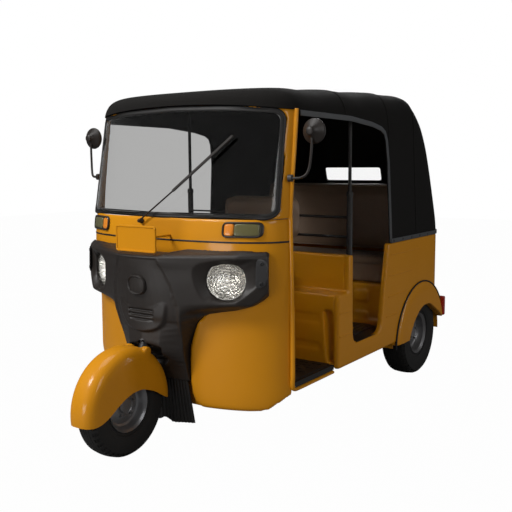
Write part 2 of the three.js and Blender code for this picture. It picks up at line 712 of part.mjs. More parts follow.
function hoodRing(ring, inset) {
  const points = [];
  const half = ring.half - inset;
  const front = ring.front + inset;
  const rear = BODY_REAR_Y - ring.rear - inset;
  const depth = 236;
  for (let i = 0; i <= 14; i += 1) {
    const angle = (Math.PI * i) / 14;
    const x = -half * Math.sign(Math.cos(angle)) * Math.abs(Math.cos(angle)) ** (2 / 2.73);
    points.push([x, front + depth * (1 - Math.sin(angle) ** (2 / 2.73))]);
  }
  const corner = BODY_CORNER_R - inset;
  for (let i = 0; i <= 4; i += 1) {
    const angle = (Math.PI * i) / 8;
    points.push([
      half - corner + corner * Math.cos(angle), rear - corner + corner * Math.sin(angle),
    ]);
  }
  for (let i = 4; i >= 0; i -= 1) {
    const angle = (Math.PI * i) / 8;
    points.push([
      -half + corner - corner * Math.cos(angle), rear - corner + corner * Math.sin(angle),
    ]);
  }
  return points.map(([x, y]) => [x, y, ring.z + ring.slope * ROOF_RISE * (y - 500)]);
}

function hoodVolume(inset) {
  const rings = HOOD_RINGS.map((ring, i) => {
    const lower = i >= 8 ? inset : 0;
    const start = i === 0 && inset > 0 ? -30 : 0;
    return hoodRing({ ...ring, z: ring.z - lower + start }, inset);
  });
  return loft(rings);
}

const HOOD_WALL = 7;
const WINDOW = { x: [-215, 215], y: [BODY_REAR_Y - 400, BODY_REAR_Y + 100], z: [1188, 1290] };

function makeHood() {
  const sideCut = prism('x', [
    [200, 700], [DOOR_REAR_Y + 2, 700], [DOOR_REAR_Y + 2, 868], [DOOR_REAR_Y, 1301],
    [DOOR_REAR_Y - 37, 1418], [DOOR_REAR_Y - 101, 1500], [DOOR_REAR_Y - 144, 1522],
    [DOOR_REAR_Y - 238, 1534], [571, 1530], [200, 1530],
  ], -800, 800);
  const windowCut = prism('y', rounded(rectangle(WINDOW.x, WINDOW.z), 25), ...WINDOW.y);
  return hoodVolume(0).subtract(hoodVolume(HOOD_WALL)).subtract(sideCut)
    .subtract(belowHeader(0.5, [200, 572])).subtract(windowCut);
}

function makeRearWindow() {
  const middle = hoodVolume(1.5).subtract(hoodVolume(4.5));
  const pane = prism('y', rounded(rectangle(
    [WINDOW.x[0] + GAP, WINDOW.x[1] - GAP], [WINDOW.z[0] + GAP, WINDOW.z[1] - GAP]), 25), ...WINDOW.y);
  return middle.intersect(pane);
}

function makeHoodRail() {
  const from = DOOR_REAR_Y + 6;
  return prism('z', bodyPlan(5, from), BODY_TOP_Z - 2, BODY_TOP_Z + 22)
    .subtract(prism('z', bodyPlan(0.9, from - 10), BODY_TOP_Z - 5, BODY_TOP_Z + 30));
}

// ---------------------------------------------------------------- cabin

function makeDriverBox() {
  const half = BODY_HALF - SKIN - GAP;
  const outline = [
    [DRIVER_BOX_FRONT_Y, SILL_Z + 6], [BULKHEAD_REAR_Y, SILL_Z + 6],
    [BULKHEAD_REAR_Y, BULKHEAD_TOP_Z], [BULKHEAD_FRONT_Y, BULKHEAD_TOP_Z],
    [BULKHEAD_FRONT_Y, DRIVER_SEAT_Z], [DRIVER_BOX_FRONT_Y, DRIVER_SEAT_Z],
  ];
  const wall = 6;
  const hollow = [
    [DRIVER_BOX_FRONT_Y + wall, SILL_Z - 10], [BULKHEAD_REAR_Y - wall, SILL_Z - 10],
    [BULKHEAD_REAR_Y - wall, BULKHEAD_TOP_Z - wall],
    [BULKHEAD_FRONT_Y + wall, BULKHEAD_TOP_Z - wall],
    [BULKHEAD_FRONT_Y + wall, DRIVER_SEAT_Z - wall],
    [DRIVER_BOX_FRONT_Y + wall, DRIVER_SEAT_Z - wall],
  ];
  const pedestal = box([-330, 330], [640, DRIVER_BOX_FRONT_Y + 1],
    [FLOOR_Z + GAP, DRIVER_SEAT_Z]);
  const pedestalHollow = box([-324, 324], [646, DRIVER_BOX_FRONT_Y + 20],
    [FLOOR_Z - 10, DRIVER_SEAT_Z - wall]);
  return prism('x', outline, -half, half).add(pedestal)
    .subtract(prism('x', hollow, -half + wall, half - wall)).subtract(pedestalHollow);
}

const SEAT_BACK_LEAN = 70 / 430;
const SEAT_BACK = { z: [757, 1187], thick: 82 };
const seatBackRearAt = (z) => SEAT_BACK_FOOT_Y + SEAT_BACK.thick + (z - SEAT_BACK.z[0]) * SEAT_BACK_LEAN;

function makeSeatBase() {
  const half = BODY_HALF - SKIN - GAP;
  const front = SEAT_BASE_FRONT_Y;
  const topZ = [SEAT_BASE_TOP_Z - 8, SEAT_BASE_TOP_Z];
  const shelf = box([-half, half], [front, seatBackRearAt(820) + 8], topZ);
  const wall = box([-half, half], [front, front + 8], [CABIN_FLOOR_Z + GAP, topZ[1]]);
  const pockets = bothSides(box([60, 560], [front - 10, front + 3], [430, 570]));
  const back = box([-half, half], [seatBackRearAt(820) + GAP, seatBackRearAt(820) + 8],
    [topZ[0], 820]);
  return union(wall.subtract(pockets), shelf, back);
}

const BAR_R = 8;

function makePartition() {
  const pole = cylinder([POLE_X, POLE_Y, CABIN_FLOOR_Z + GAP], [POLE_X, POLE_Y, 1160], 16, 14)
    .add(cylinder([POLE_X, POLE_Y, 1159], [POLE_X, POLE_Y, 1640], 9, 10));
  const bars = [923, 1027].map((z) =>
    cylinder([-POLE_X, POLE_Y, z], [POLE_X, POLE_Y, z], BAR_R, 10));
  return union(pole, mirrored(pole), ...bars);
}

// ---------------------------------------------------------------- chassis and running gear

function makeChassis() {
  const z = [RAIL_TOP_Z - RAIL_DEPTH, RAIL_TOP_Z];
  const front = RECESS_REAR_Y + SKIN + 2;
  const kickTop = KICK_Z + RAIL_DEPTH;
  const rail = box(RAIL_X, [front, WHEELBASE - 300], z)
    .add(prism('x', [
      [ARM_PIVOT_Y + 50, z[0]], [ARM_PIVOT_Y + 70, z[0]], [WHEELBASE - 120, KICK_Z],
      [BODY_REAR_Y - 46, KICK_Z], [BODY_REAR_Y - 46, kickTop], [WHEELBASE - 150, kickTop],
      [ARM_PIVOT_Y + 50, z[1]],
    ], ...RAIL_X));
  const crossMembers = [front, 900, ARM_PIVOT_Y - 160].map((y) =>
    box([1 - RAIL_X[1], RAIL_X[1] - 1], [y, y + 50], z));
  const rearMember = box([1 - RAIL_X[1], RAIL_X[1] - 1], [BODY_REAR_Y - 96, BODY_REAR_Y - 46],
    [KICK_Z, kickTop]);
  const spine = box([-28, 28], [front, front + 52], [z[0], HEAD_Z[1] - 20]);
  const headstock = onSteerAxis(HEAD_Z[0], COLUMN_R + 13, HEAD_Z[1]);
  const gusset = prism('x', [
    [290, 680], [345, 652], [345, 760], [305, 755],
  ], -6, 6);
  const bore = onSteerAxis(500, COLUMN_R + 0.8, 900);
  const armPivots = cylinder([-430, ARM_PIVOT_Y, ARM_PIVOT_Z], [430, ARM_PIVOT_Y, ARM_PIVOT_Z], 14, 14)
    .subtract(box([1 - RAIL_X[0], RAIL_X[0] - 1], [ARM_PIVOT_Y - 40, ARM_PIVOT_Y + 40], [230, 300]));
  return union(rail, mirrored(rail), ...crossMembers, rearMember, spine, headstock, gusset)
    .subtract(bore)
    .add(armPivots);
}

const ENGINE_HALF = 200;

function makeTrailingArm() {
  const hubX = REAR_TRACK_HALF - 110;
  const arm = prism('z', [
    [345, ARM_PIVOT_Y - 25], [430, ARM_PIVOT_Y - 25], [hubX, WHEELBASE - 20],
    [hubX, WHEELBASE + 30], [hubX - 50, WHEELBASE + 30], [hubX - 50, WHEELBASE - 10],
  ], ARM_PIVOT_Z - 24, ARM_PIVOT_Z + 24);
  const sleeveCut = cylinder([300, ARM_PIVOT_Y, ARM_PIVOT_Z], [500, ARM_PIVOT_Y, ARM_PIVOT_Z], 14.5, 14);
  const axleAt = (x) => [x, WHEELBASE, REAR_TYRE_R];
  const stub = cylinder(axleAt(hubX - 5), axleAt(REAR_TRACK_HALF - 35.5), 20, 16);
  const carrier = box([hubX - 50, hubX], [WHEELBASE - 25, WHEELBASE + 30],
    [REAR_TYRE_R - 28, REAR_TYRE_R + 57]);
  const shaft = cylinder(axleAt(ENGINE_HALF + GAP), axleAt(hubX - 49), 16, 14);
  return union(arm, carrier).subtract(sleeveCut).add(stub).add(shaft);
}

function tyreProfile({ radius, half, bead }) {
  const side = [
    [bead, half * 0.74], [bead + 30, half * 0.93], [(bead + radius) / 2 + 9, half],
    [radius - 17, half * 0.95], [radius, half * 0.56],
  ];
  const mirror = side.map(([r, x]) => [r, -x]);
  return [...mirror, ...side.reverse(), [bead, -half * 0.74]];
}

function rimProfile({ half, bead }) {
  const edge = half * 0.8;
  const rimR = bead - 1.5;
  const discR = rimR - 15;
  return [
    [0, -35], [34, -35], [34, -6], [discR, 0], [discR, -edge], [rimR, -edge],
    [rimR, edge], [discR, edge], [discR, 8], [36, 12], [34, 30], [0, 30],
  ];
}

const FRONT_WHEEL = { radius: TYRE_R, half: TYRE_HALF, bead: BEAD_R };
const REAR_WHEEL = { radius: REAR_TYRE_R, half: REAR_TYRE_HALF, bead: REAR_BEAD_R };

function makeWheel(size, x, y) {
  const centre = [x, y, size.radius];
  return {
    tyre: turnedAboutX(tyreProfile(size), centre, 28),
    rim: turnedAboutX(rimProfile(size), centre, 20),
  };
}

// ---------------------------------------------------------------- steering

const FORK_X = -98;

// The crown passes between the tyre and the mudguard, and out through the guard's far shoulder.
const CROWN = [[110, 446], [170, 402], [170, 427], [110, 466]];

function makeFork() {
  const column = onSteerAxis(445, COLUMN_R, 985);
  const crown = prism('x', CROWN, FORK_X - 12, 24);
  const leg = tube([[FORK_X, 140, 436], [FORK_X, 160, 380], [FORK_X, 150, 300]], 12, 6, 10);
  const link = cylinder([FORK_X, 150, 300], [FORK_X, 0, TYRE_R], 12, 12);
  const axle = cylinder([FORK_X - 12, 0, TYRE_R], [-35.4, 0, TYRE_R], 17, 16);
  return union(column, crown, leg, link, axle);
}

const GRIP = { reach: 300, sweep: THREE.MathUtils.degToRad(22) };

function makeHandlebar() {
  const z = 1003;
  const hub = [0, steerAt(z), z];
  const rearward = GRIP.reach * Math.sin(GRIP.sweep);
  const tip = (side, share) => [
    side * share * GRIP.reach * Math.cos(GRIP.sweep),
    hub[1] + share * rearward * Math.cos(STEER_RAKE),
    hub[2] - share * rearward * Math.sin(STEER_RAKE),
  ];
  const bar = (side) => cylinder(tip(side, -0.02), tip(side, 1), 11, 10)
    .add(cylinder(tip(side, 0.62), tip(side, 1.01), 16, 12));
  const clamp = onSteerAxis(985 + GAP, COLUMN_R + 6, 1030);
  return union(clamp, bar(1), bar(-1));
}

// Side view of the mudguard: deep at the nose, arched over the hub, pointed at the tail.
const GUARD_SIDE = [
  [-290, 205], [-240, 200], [-186, 211], [-138, 233], [-100, 259], [-50, 285], [0, 301],
  [60, 303], [139, 273], [215, 225], [244, 214], [300, 240], [300, 560], [-290, 560],
];

function makeMudguard() {
  const profile = (inset) => {
    const half = GUARD_HALF - inset;
    const radius = GUARD_R - inset;
    return [
      [0, -half], [radius - 62, -half], [radius - 34, -half + 8], [radius - 12, -half + 26],
      [radius, -half + 54], [radius, half - 54], [radius - 12, half - 26],
      [radius - 34, half - 8], [radius - 62, half], [0, half],
    ];
  };
  const centre = [0, 0, TYRE_R];
  const outer = turnedAboutX(profile(0), centre, 40);
  const inner = turnedAboutX(profile(GUARD_WALL), centre, 40);
  const boss = cylinder([34, 112, 462], [68, 112, 462], 24, 12);
  const crownSlot = prism('x', insetOutline(CROWN, -GAP), FORK_X - 20, -26);
  return outer.add(bothSides(boss)).subtract(inner).subtract(crownSlot)
    .subtract(onSteerAxis(400, COLUMN_R + GAP, 560))
    .intersect(prism('x', GUARD_SIDE, -120, 120));
}

// ---------------------------------------------------------------- floor, seats and trim

function makeFloor() {
  const z = [FLOOR_Z - 16, FLOOR_Z];
  const front = RECESS_REAR_Y + SKIN + GAP;
  const inCowl = box([-620, 620], [front, COWL_TRAIL_Y + 1], z)
    .intersect(cowlVolume(SKIN + GAP, 60));
  const openY = [COWL_TRAIL_Y + GAP, DRIVER_BOX_FRONT_Y - GAP];
  const open = box([-606, 606], openY, z);
  const lip = bothSides(box([590, 606], openY, [FLOOR_LIP_Z, FLOOR_Z]));
  return inCowl.add(open).add(lip).subtract(box([-30, 30], [front - 10, front + 54], [200, 400]));
}

function makeCabinFloor() {
  const half = BODY_HALF - SKIN - GAP;
  const z = [CABIN_FLOOR_Z - 8, CABIN_FLOOR_Z];
  const from = BULKHEAD_REAR_Y + GAP;
  const bearer = box([RAIL_X[0] + 10, RAIL_X[1] + 20], [from + 13, SEAT_BASE_FRONT_Y - 20],
    [RAIL_TOP_Z + GAP, z[0] + 1]);
  return union(
    box([-half, half], [from, SEAT_BASE_FRONT_Y], z),
    box([2 - FENDER.inner, FENDER.inner - 2], [SEAT_BASE_FRONT_Y - 10, SEAT_BASE_FRONT_Y + 140], z),
    box([-500, 500], [POLE_Y + 60, SEAT_BASE_FRONT_Y - 30], [z[0], z[1] + 4]),
    bearer, mirrored(bearer),
  );
}

function cushion(x, y, z, radius) {
  return prism('x', rounded([[y[0], z[0]], [y[1], z[0]], [y[1], z[1]], [y[0], z[1]]], radius), ...x);
}

function makePassengerBack() {
  const [low, high] = SEAT_BACK.z;
  const foot = SEAT_BACK_FOOT_Y;
  const lean = (high - low) * SEAT_BACK_LEAN;
  const outline = rounded([
    [foot, low], [seatBackRearAt(low), low], [seatBackRearAt(high), high], [foot + lean + 7, high],
  ], 28);
  return prism('x', outline, -545, 545);
}

function makeDriverBack() {
  const rear = POLE_Y - BAR_R - GAP;
  return prism('y', rounded(rectangle([-245, 245], [892, 1136]), 60, 5), rear - 62, rear);
}

function makeMirror() {
  const head = cylinder([690, 532, 1453], [690, 545, 1453], 56, 20)
    .add(cylinder([690, 500, 1453], [690, 532.5, 1453], 22, 20, 56));
  const stalk = tube([
    [605, 478, 1247], [640, 486, 1247], [672, 502, 1262], [686, 512, 1320], [690, 518, 1440],
  ], 6, 12, 8);
  const foot = cylinder([580, 474, 1247], [610, 479, 1247], 11, 10).subtract(screenVolume(-GAP, 20));
  return union(head, stalk, foot);
}

function makeWiper() {
  const pivot = [-112, 262, 1045];
  const elbow = [92, 276, 1190];
  const tip = [370, 368, 1436];
  const boss = cylinder([pivot[0], 284.5, pivot[2]], [pivot[0], 255, pivot[2]], 9, 12);
  const arm = cylinder(pivot, elbow, 5, 8);
  const blade = cylinder(elbow, tip, 7, 8);
  return union(boss, arm, blade);
}

function makeDash() {
  const outline = rounded([[270, 950], [352, 950], [338, 1052], [270, 1052]], 8, 2);
  return prism('x', outline, -200, 200).intersect(cowlVolume(SKIN + GAP, 60));
}

function makeTailLamp() {
  const x = [TAIL_LAMP.x[0] - 3, TAIL_LAMP.x[1] + 3];
  const z = [TAIL_LAMP.z[0] - 4, TAIL_LAMP.z[1] + 10];
  return prism('y', rounded(rectangle(x, z), 10, 3), TAIL_LAMP.y + GAP, TAIL_LAMP.y + 20);
}

function makeBumper() {
  const bar = cylinder([-470, BUMPER_Y, 250], [470, BUMPER_Y, 250], BUMPER_R, 12);
  const seatY = BODY_REAR_Y - 46 + GAP;
  const lug = box([255, 285], [seatY, BUMPER_Y], [255, 267])
    .add(box([255, 285], [seatY, seatY + 9], [256, KICK_Z + 48]));
  return union(bar, lug, mirrored(lug));
}

// The flap hangs from the neck and widens downwards.
function makeMudflap() {
  const side = prism('x', [[283, 299.7], [289, 299.7], [308, 70], [302, 70]], -220, 220);
  const outline = mirroredOutline([[152, 310], [179, 92], [40, 72], [10, 90]]);
  return side.intersect(prism('y', outline, 200, 400));
}

function makeSilencer() {
  const y = WHEELBASE + 222;
  const hanger = box([258, 282], [y - 16, y + 16], [250, KICK_Z - GAP]);
  return union(cylinder([-290, y, 265], [290, y, 265], 52, 16), hanger, mirrored(hanger));
}

// ---------------------------------------------------------------- assembly

add('chassis_frame', makeChassis(), BLACK_PLASTIC);
add('front_cowl', makeCowl(), YELLOW);
add('front_fairing', makeFairing(), BLACK_PLASTIC);
addPair('headlamp', makeHeadlamp(), LAMP_GLASS);
addPair('front_indicator', makeIndicator(), AMBER);
add('front_plate', makePlate(), YELLOW);

const windscreen = makeWindscreen();
add('windscreen_frame', windscreen.frame, YELLOW);
add('windscreen_seal', windscreen.seal, RUBBER);
add('windscreen_glass', windscreen.glass, GLASS);

add('hood', makeHood(), CANVAS);
add('hood_rail', makeHoodRail(), GREY_FLANGE);
add('rear_window', makeRearWindow(), GLASS);

const body = makeSidePanels();
addPair('side_panel', body.left, YELLOW);
add('rear_panel', body.rear, YELLOW);
addPair('rear_fender', makeFender(), YELLOW);
add('driver_box', makeDriverBox(), YELLOW);
add('passenger_seat_base', makeSeatBase(), YELLOW);
add('partition_frame', makePartition(), STEEL);

add('fork', makeFork(), STEEL);
add('handlebar', makeHandlebar(), STEEL);
add('front_mudguard', makeMudguard(), YELLOW);

const frontWheel = makeWheel(FRONT_WHEEL, 0, 0);
add('front_tyre', frontWheel.tyre, TYRE);
add('front_rim', frontWheel.rim, SILVER);
const rearWheel = makeWheel(REAR_WHEEL, REAR_TRACK_HALF, WHEELBASE);
addPair('rear_tyre', rearWheel.tyre, TYRE);
addPair('rear_rim', rearWheel.rim, SILVER);
addPair('trailing_arm', makeTrailingArm(), STEEL);
add('engine_lid', makeLid(), YELLOW);

add('driver_floor', makeFloor(), RUBBER);
add('cabin_floor', makeCabinFloor(), RUBBER);
add('driver_seat', cushion([-325, 325], [630, BULKHEAD_FRONT_Y - 5],
  [DRIVER_SEAT_Z + GAP, 745], 24), LEATHER);
add('driver_backrest', makeDriverBack(), LEATHER);
add('passenger_seat', cushion([-600, 600], [SEAT_BASE_FRONT_Y + 20, SEAT_BACK_FOOT_Y - 8],
  [SEAT_BASE_TOP_Z + GAP, 745], 30), LEATHER);
add('passenger_backrest', makePassengerBack(), LEATHER);
addPair('mirror', makeMirror(), BLACK_PLASTIC);
add('wiper', makeWiper(), BLACK_PLASTIC);
add('dashboard', makeDash(), BLACK_PLASTIC);
addPair('tail_lamp', makeTailLamp(), RED);
add('rear_bumper', makeBumper(), STEEL);
add('engine_block', box([-ENGINE_HALF, ENGINE_HALF], [WHEELBASE - 200, WHEELBASE + 150],
  [180, 560]), SILVER);
add('silencer', makeSilencer(), STEEL);
add('front_mudflap', makeMudflap(), RUBBER);

export default vehicle;
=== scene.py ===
# %% [markdown]
# # Dressing a three-wheeled passenger rickshaw
#
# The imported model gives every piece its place. This script adds the finish: smooth pressed
# panels where the solids are faceted, soft seats and a canvas hood, and a material for each
# surface. Every length is in metres, +Z is up and the vehicle faces -Y.

# %% Load the fixed frame
import json
import math

import bmesh
import bpy
from mathutils import Matrix, Vector


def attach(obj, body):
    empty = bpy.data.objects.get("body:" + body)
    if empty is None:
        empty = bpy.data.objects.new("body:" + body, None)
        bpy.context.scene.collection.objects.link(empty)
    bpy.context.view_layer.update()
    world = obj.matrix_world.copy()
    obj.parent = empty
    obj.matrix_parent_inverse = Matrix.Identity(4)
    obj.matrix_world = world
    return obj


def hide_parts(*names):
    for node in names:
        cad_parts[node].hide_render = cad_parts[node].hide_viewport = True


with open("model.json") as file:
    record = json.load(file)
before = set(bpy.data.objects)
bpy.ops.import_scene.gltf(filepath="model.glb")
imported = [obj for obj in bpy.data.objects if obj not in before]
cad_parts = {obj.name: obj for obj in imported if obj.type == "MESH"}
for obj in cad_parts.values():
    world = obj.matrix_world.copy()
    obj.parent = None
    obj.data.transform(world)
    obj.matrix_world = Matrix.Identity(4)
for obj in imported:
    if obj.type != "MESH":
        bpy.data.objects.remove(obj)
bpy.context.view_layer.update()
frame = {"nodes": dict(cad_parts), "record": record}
NODES = frame["nodes"]
SIDES = ((1, "left"), (-1, "right"))
STATION = -1.046  # the front axle's y
X, Y, UP = Vector((1, 0, 0)), Vector((0, 1, 0)), Vector((0, 0, 1))
WHITE = (1, 1, 1, 1)

# %% [markdown]
# ## Camera, light and floor
#
# The camera looks from the front left, a little above the bonnet, as one walks up to a parked
# rickshaw. A large key lamp stands on the camera's left. Five weaker lamps in front, behind, at
# the side and above shape the paint and lift the inside. The floor is white to the camera and
# keeps only a trace of shadow.

# %% Camera
AZIMUTH, ELEVATION, ROLL = (math.radians(a) for a in (34.54, 6.99, -0.37))
CAMERA_PLACE = (2.37988, -3.4224, 1.31198)
back = Vector((
    math.sin(AZIMUTH) * math.cos(ELEVATION),
    -math.cos(AZIMUTH) * math.cos(ELEVATION),
    math.sin(ELEVATION),
))
right = Vector((math.cos(AZIMUTH), math.sin(AZIMUTH), 0))
up = back.cross(right)
turned_right = right * math.cos(ROLL) + up * math.sin(ROLL)
turned_up = up * math.cos(ROLL) - right * math.sin(ROLL)
camera_data = bpy.data.cameras.new("camera")
camera_data.sensor_width = 36
camera_data.lens = 52.9826
camera_data.clip_end = 60
camera = bpy.data.objects.new("camera", camera_data)
camera.matrix_world = Matrix([
    (turned_right[i], turned_up[i], back[i], CAMERA_PLACE[i]) for i in range(3)
] + [(0, 0, 0, 1)])
bpy.context.scene.collection.objects.link(camera)
bpy.context.scene.camera = camera
print("camera lens", round(camera_data.lens, 2))


# %% Lamps
def area_lamp(name, place, target, size, power):
    """A rectangular lamp at place that points at target."""
    data = bpy.data.lights.new(name, "AREA")
    data.shape = "RECTANGLE"
    data.size, data.size_y = size
    data.energy = power
    lamp = bpy.data.objects.new(name, data)
    bpy.context.scene.collection.objects.link(lamp)
    aim = Vector(target) - Vector(place)
    lamp.rotation_euler = aim.to_track_quat("-Z", "Y").to_euler()
    lamp.location = place


area_lamp("key", (-2.0, -4.8, 4.6), (0, -0.4, 0.8), (2.0, 1.5), 265)
area_lamp("front", (-0.5, -5.2, 0.5), (0, -0.6, 0.8), (1.7, 1.0), 45)
area_lamp("back", (-1.0, 4.4, 3.8), (0, 0.8, 0.9), (2.2, 1.4), 60)
area_lamp("fill", (4.8, -2.6, 3.0), (0.4, 0, 0.8), (1.6, 2.0), 55)
area_lamp("strip", (3.6, 2.2, 1.3), (0.5, -0.5, 0.8), (0.35, 2.4), 20)
area_lamp("top", (-0.7, -1.0, 4.8), (0, -0.6, 0.8), (2.4, 2.4), 75)
print("lamps", len(bpy.data.lights))


# %% Node helpers
def add_node(tree, kind, inputs=None, operation=None):
    """A shader node with plain values for some of its inputs."""
    node = tree.nodes.new("ShaderNode" + kind)
    if operation:
        node.operation = operation
    for key, value in (inputs or {}).items():
        node.inputs[key].default_value = value
    return node


def wire(tree, *pairs):
    for source, target in pairs:
        tree.links.new(source, target)


def seen_directly(tree):
    """A value that is 1 for rays from the camera or through glass, and 0 for the rest."""
    path = add_node(tree, "LightPath")
    either = add_node(tree, "Math", operation="MAXIMUM")
    wire(tree, (path.outputs["Is Camera Ray"], either.inputs[0]),
         (path.outputs["Is Transmission Ray"], either.inputs[1]))
    return either.outputs[0]


def new_material(name):
    """A material, its node tree and its Principled shader."""
    material = bpy.data.materials.new(name)
    material.use_nodes = True
    return material, material.node_tree, material.node_tree.nodes["Principled BSDF"]


# %% World
SOFT_LIGHT = 0.07
world = bpy.data.worlds.new("studio")
bpy.context.scene.world = world
world.use_nodes = True
tree = world.node_tree
tree.nodes.clear()
out = add_node(tree, "OutputWorld")
soft = add_node(tree, "Background", {0: WHITE, 1: SOFT_LIGHT})
white = add_node(tree, "Background", {0: WHITE, 1: 1})
mix = add_node(tree, "MixShader")
wire(tree, (seen_directly(tree), mix.inputs[0]), (soft.outputs[0], mix.inputs[1]),
     (white.outputs[0], mix.inputs[2]), (mix.outputs[0], out.inputs[0]))
bpy.context.scene.view_settings.view_transform = "Standard"
print("world", world.name)

# %% Floor
FLOOR_WHITENESS = 0.985
bm = bmesh.new()
bmesh.ops.create_grid(bm, x_segments=1, y_segments=1, size=14)
floor_mesh = bpy.data.meshes.new("floor")
bm.to_mesh(floor_mesh)
bm.free()
floor = bpy.data.objects.new("floor", floor_mesh)
bpy.context.scene.collection.objects.link(floor)
floor.data.transform(Matrix.Translation((0, 0, -0.0015)))
floor_finish, tree, plain = new_material("floor")
plain.inputs["Base Color"].default_value = (0.2, 0.2, 0.2, 1)
plain.inputs["Roughness"].default_value = 0.9
glow = add_node(tree, "Emission", {"Color": WHITE})
veil = add_node(tree, "MixShader")
share = add_node(tree, "Math", {1: FLOOR_WHITENESS}, "MULTIPLY")
wire(tree, (seen_directly(tree), share.inputs[0]), (share.outputs[0], veil.inputs[0]),
     (plain.outputs["BSDF"], veil.inputs[1]), (glow.outputs["Emission"], veil.inputs[2]),
     (veil.outputs["Shader"], tree.nodes["Material Output"].inputs["Surface"]))
floor.data.materials.append(floor_finish)
print("floor", floor_finish.name)

# %% [markdown]
# ## Materials
#
# Each finish is a Principled BSDF with its own grain. Two effects come back in many finishes,
# so each is a node group: patina shifts a colour and a roughness in soft patches, as handling
# and dust do, and grain gives a fine height for the Bump node.


# %% Node groups for patina and grain
def make_group(name, inputs, outputs):
    """An empty node group with its sockets, and the inside ends of those."""
    group = bpy.data.node_groups.new(name, "ShaderNodeTree")
    for label, kind, value in inputs:
        socket = group.interface.new_socket(label, in_out="INPUT", socket_type="NodeSocket" + kind)
        socket.default_value = value
    for label, kind in outputs:
        group.interface.new_socket(label, in_out="OUTPUT", socket_type="NodeSocket" + kind)
    given = group.nodes.new("NodeGroupInput").outputs
    return group, given, group.nodes.new("NodeGroupOutput").inputs


def make_patina():
    group, given, result = make_group(
        "patina",
        [("Color", "Color", WHITE), ("Dust", "Color", WHITE), ("Amount", "Float", 0.2),
         ("Scale", "Float", 3), ("Roughness", "Float", 0.4), ("Spread", "Float", 0.1)],
        [("Color", "Color"), ("Roughness", "Float")])
    place = add_node(group, "TexCoord")
    noise = add_node(group, "TexNoise", {"Detail": 6, "Roughness": 0.6})
    patch = add_node(group, "MapRange", {"From Min": 0.35, "From Max": 0.75})
    share = add_node(group, "Math", operation="MULTIPLY")
    mix = add_node(group, "Mix")
    mix.data_type = "RGBA"
    shift = add_node(group, "Math", operation="MULTIPLY_ADD")
    wire(group, (place.outputs["Object"], noise.inputs["Vector"]),
         (given["Scale"], noise.inputs["Scale"]), (noise.outputs["Fac"], patch.inputs["Value"]),
         (patch.outputs["Result"], share.inputs[0]), (given["Amount"], share.inputs[1]),
         (share.outputs[0], mix.inputs["Factor"]), (given["Color"], mix.inputs["A"]),
         (given["Dust"], mix.inputs["B"]), (mix.outputs["Result"], result["Color"]),
         (patch.outputs["Result"], shift.inputs[0]), (given["Spread"], shift.inputs[1]),
         (given["Roughness"], shift.inputs[2]), (shift.outputs[0], result["Roughness"]))
    return group


def make_grain():
    group, given, result = make_group(
        "grain", [("Scale", "Float", 200), ("Coarse", "Float", 0.3)], [("Height", "Float")])
    place = add_node(group, "TexCoord")
    fine = add_node(group, "TexVoronoi")
    broad = add_node(group, "TexNoise", {"Scale": 9})
    blend = add_node(group, "Math", operation="MULTIPLY_ADD")
    wire(group, (place.outputs["Object"], fine.inputs["Vector"]),
         (place.outputs["Object"], broad.inputs["Vector"]), (given["Scale"], fine.inputs["Scale"]),
         (broad.outputs["Fac"], blend.inputs[0]), (given["Coarse"], blend.inputs[1]),
         (fine.outputs["Distance"], blend.inputs[2]), (blend.outputs[0], result["Height"]))
    return group


PATINA, GRAIN = make_patina(), make_grain()
print("node groups", PATINA.name, GRAIN.name)


# %% One finish
def finish(name, color, dust, roughness, amount=0.2, scale=3, spread=0.1, grain=200,
           coarse=0.3, bump=0.1, depth=0.0005, **sockets):
    """A Principled material with patina and grain; sockets sets plain inputs by name."""
    material, tree, shader = new_material(name)
    patina = add_node(tree, "Group")
    patina.node_tree = PATINA
    for socket, value in (("Color", (*color, 1)), ("Dust", (*dust, 1)), ("Amount", amount),
                          ("Scale", scale), ("Roughness", roughness), ("Spread", spread)):
        patina.inputs[socket].default_value = value
    height = add_node(tree, "Group")
    height.node_tree = GRAIN
    height.inputs["Scale"].default_value = grain
    height.inputs["Coarse"].default_value = coarse
    relief = add_node(tree, "Bump", {"Strength": bump, "Distance": depth})
    wire(tree, (patina.outputs["Color"], shader.inputs["Base Color"]),
         (patina.outputs["Roughness"], shader.inputs["Roughness"]),
         (height.outputs["Height"], relief.inputs["Height"]),
         (relief.outputs["Normal"], shader.inputs["Normal"]))
    for socket, value in sockets.items():
        shader.inputs[socket.replace("_", " ")].default_value = value
    return material


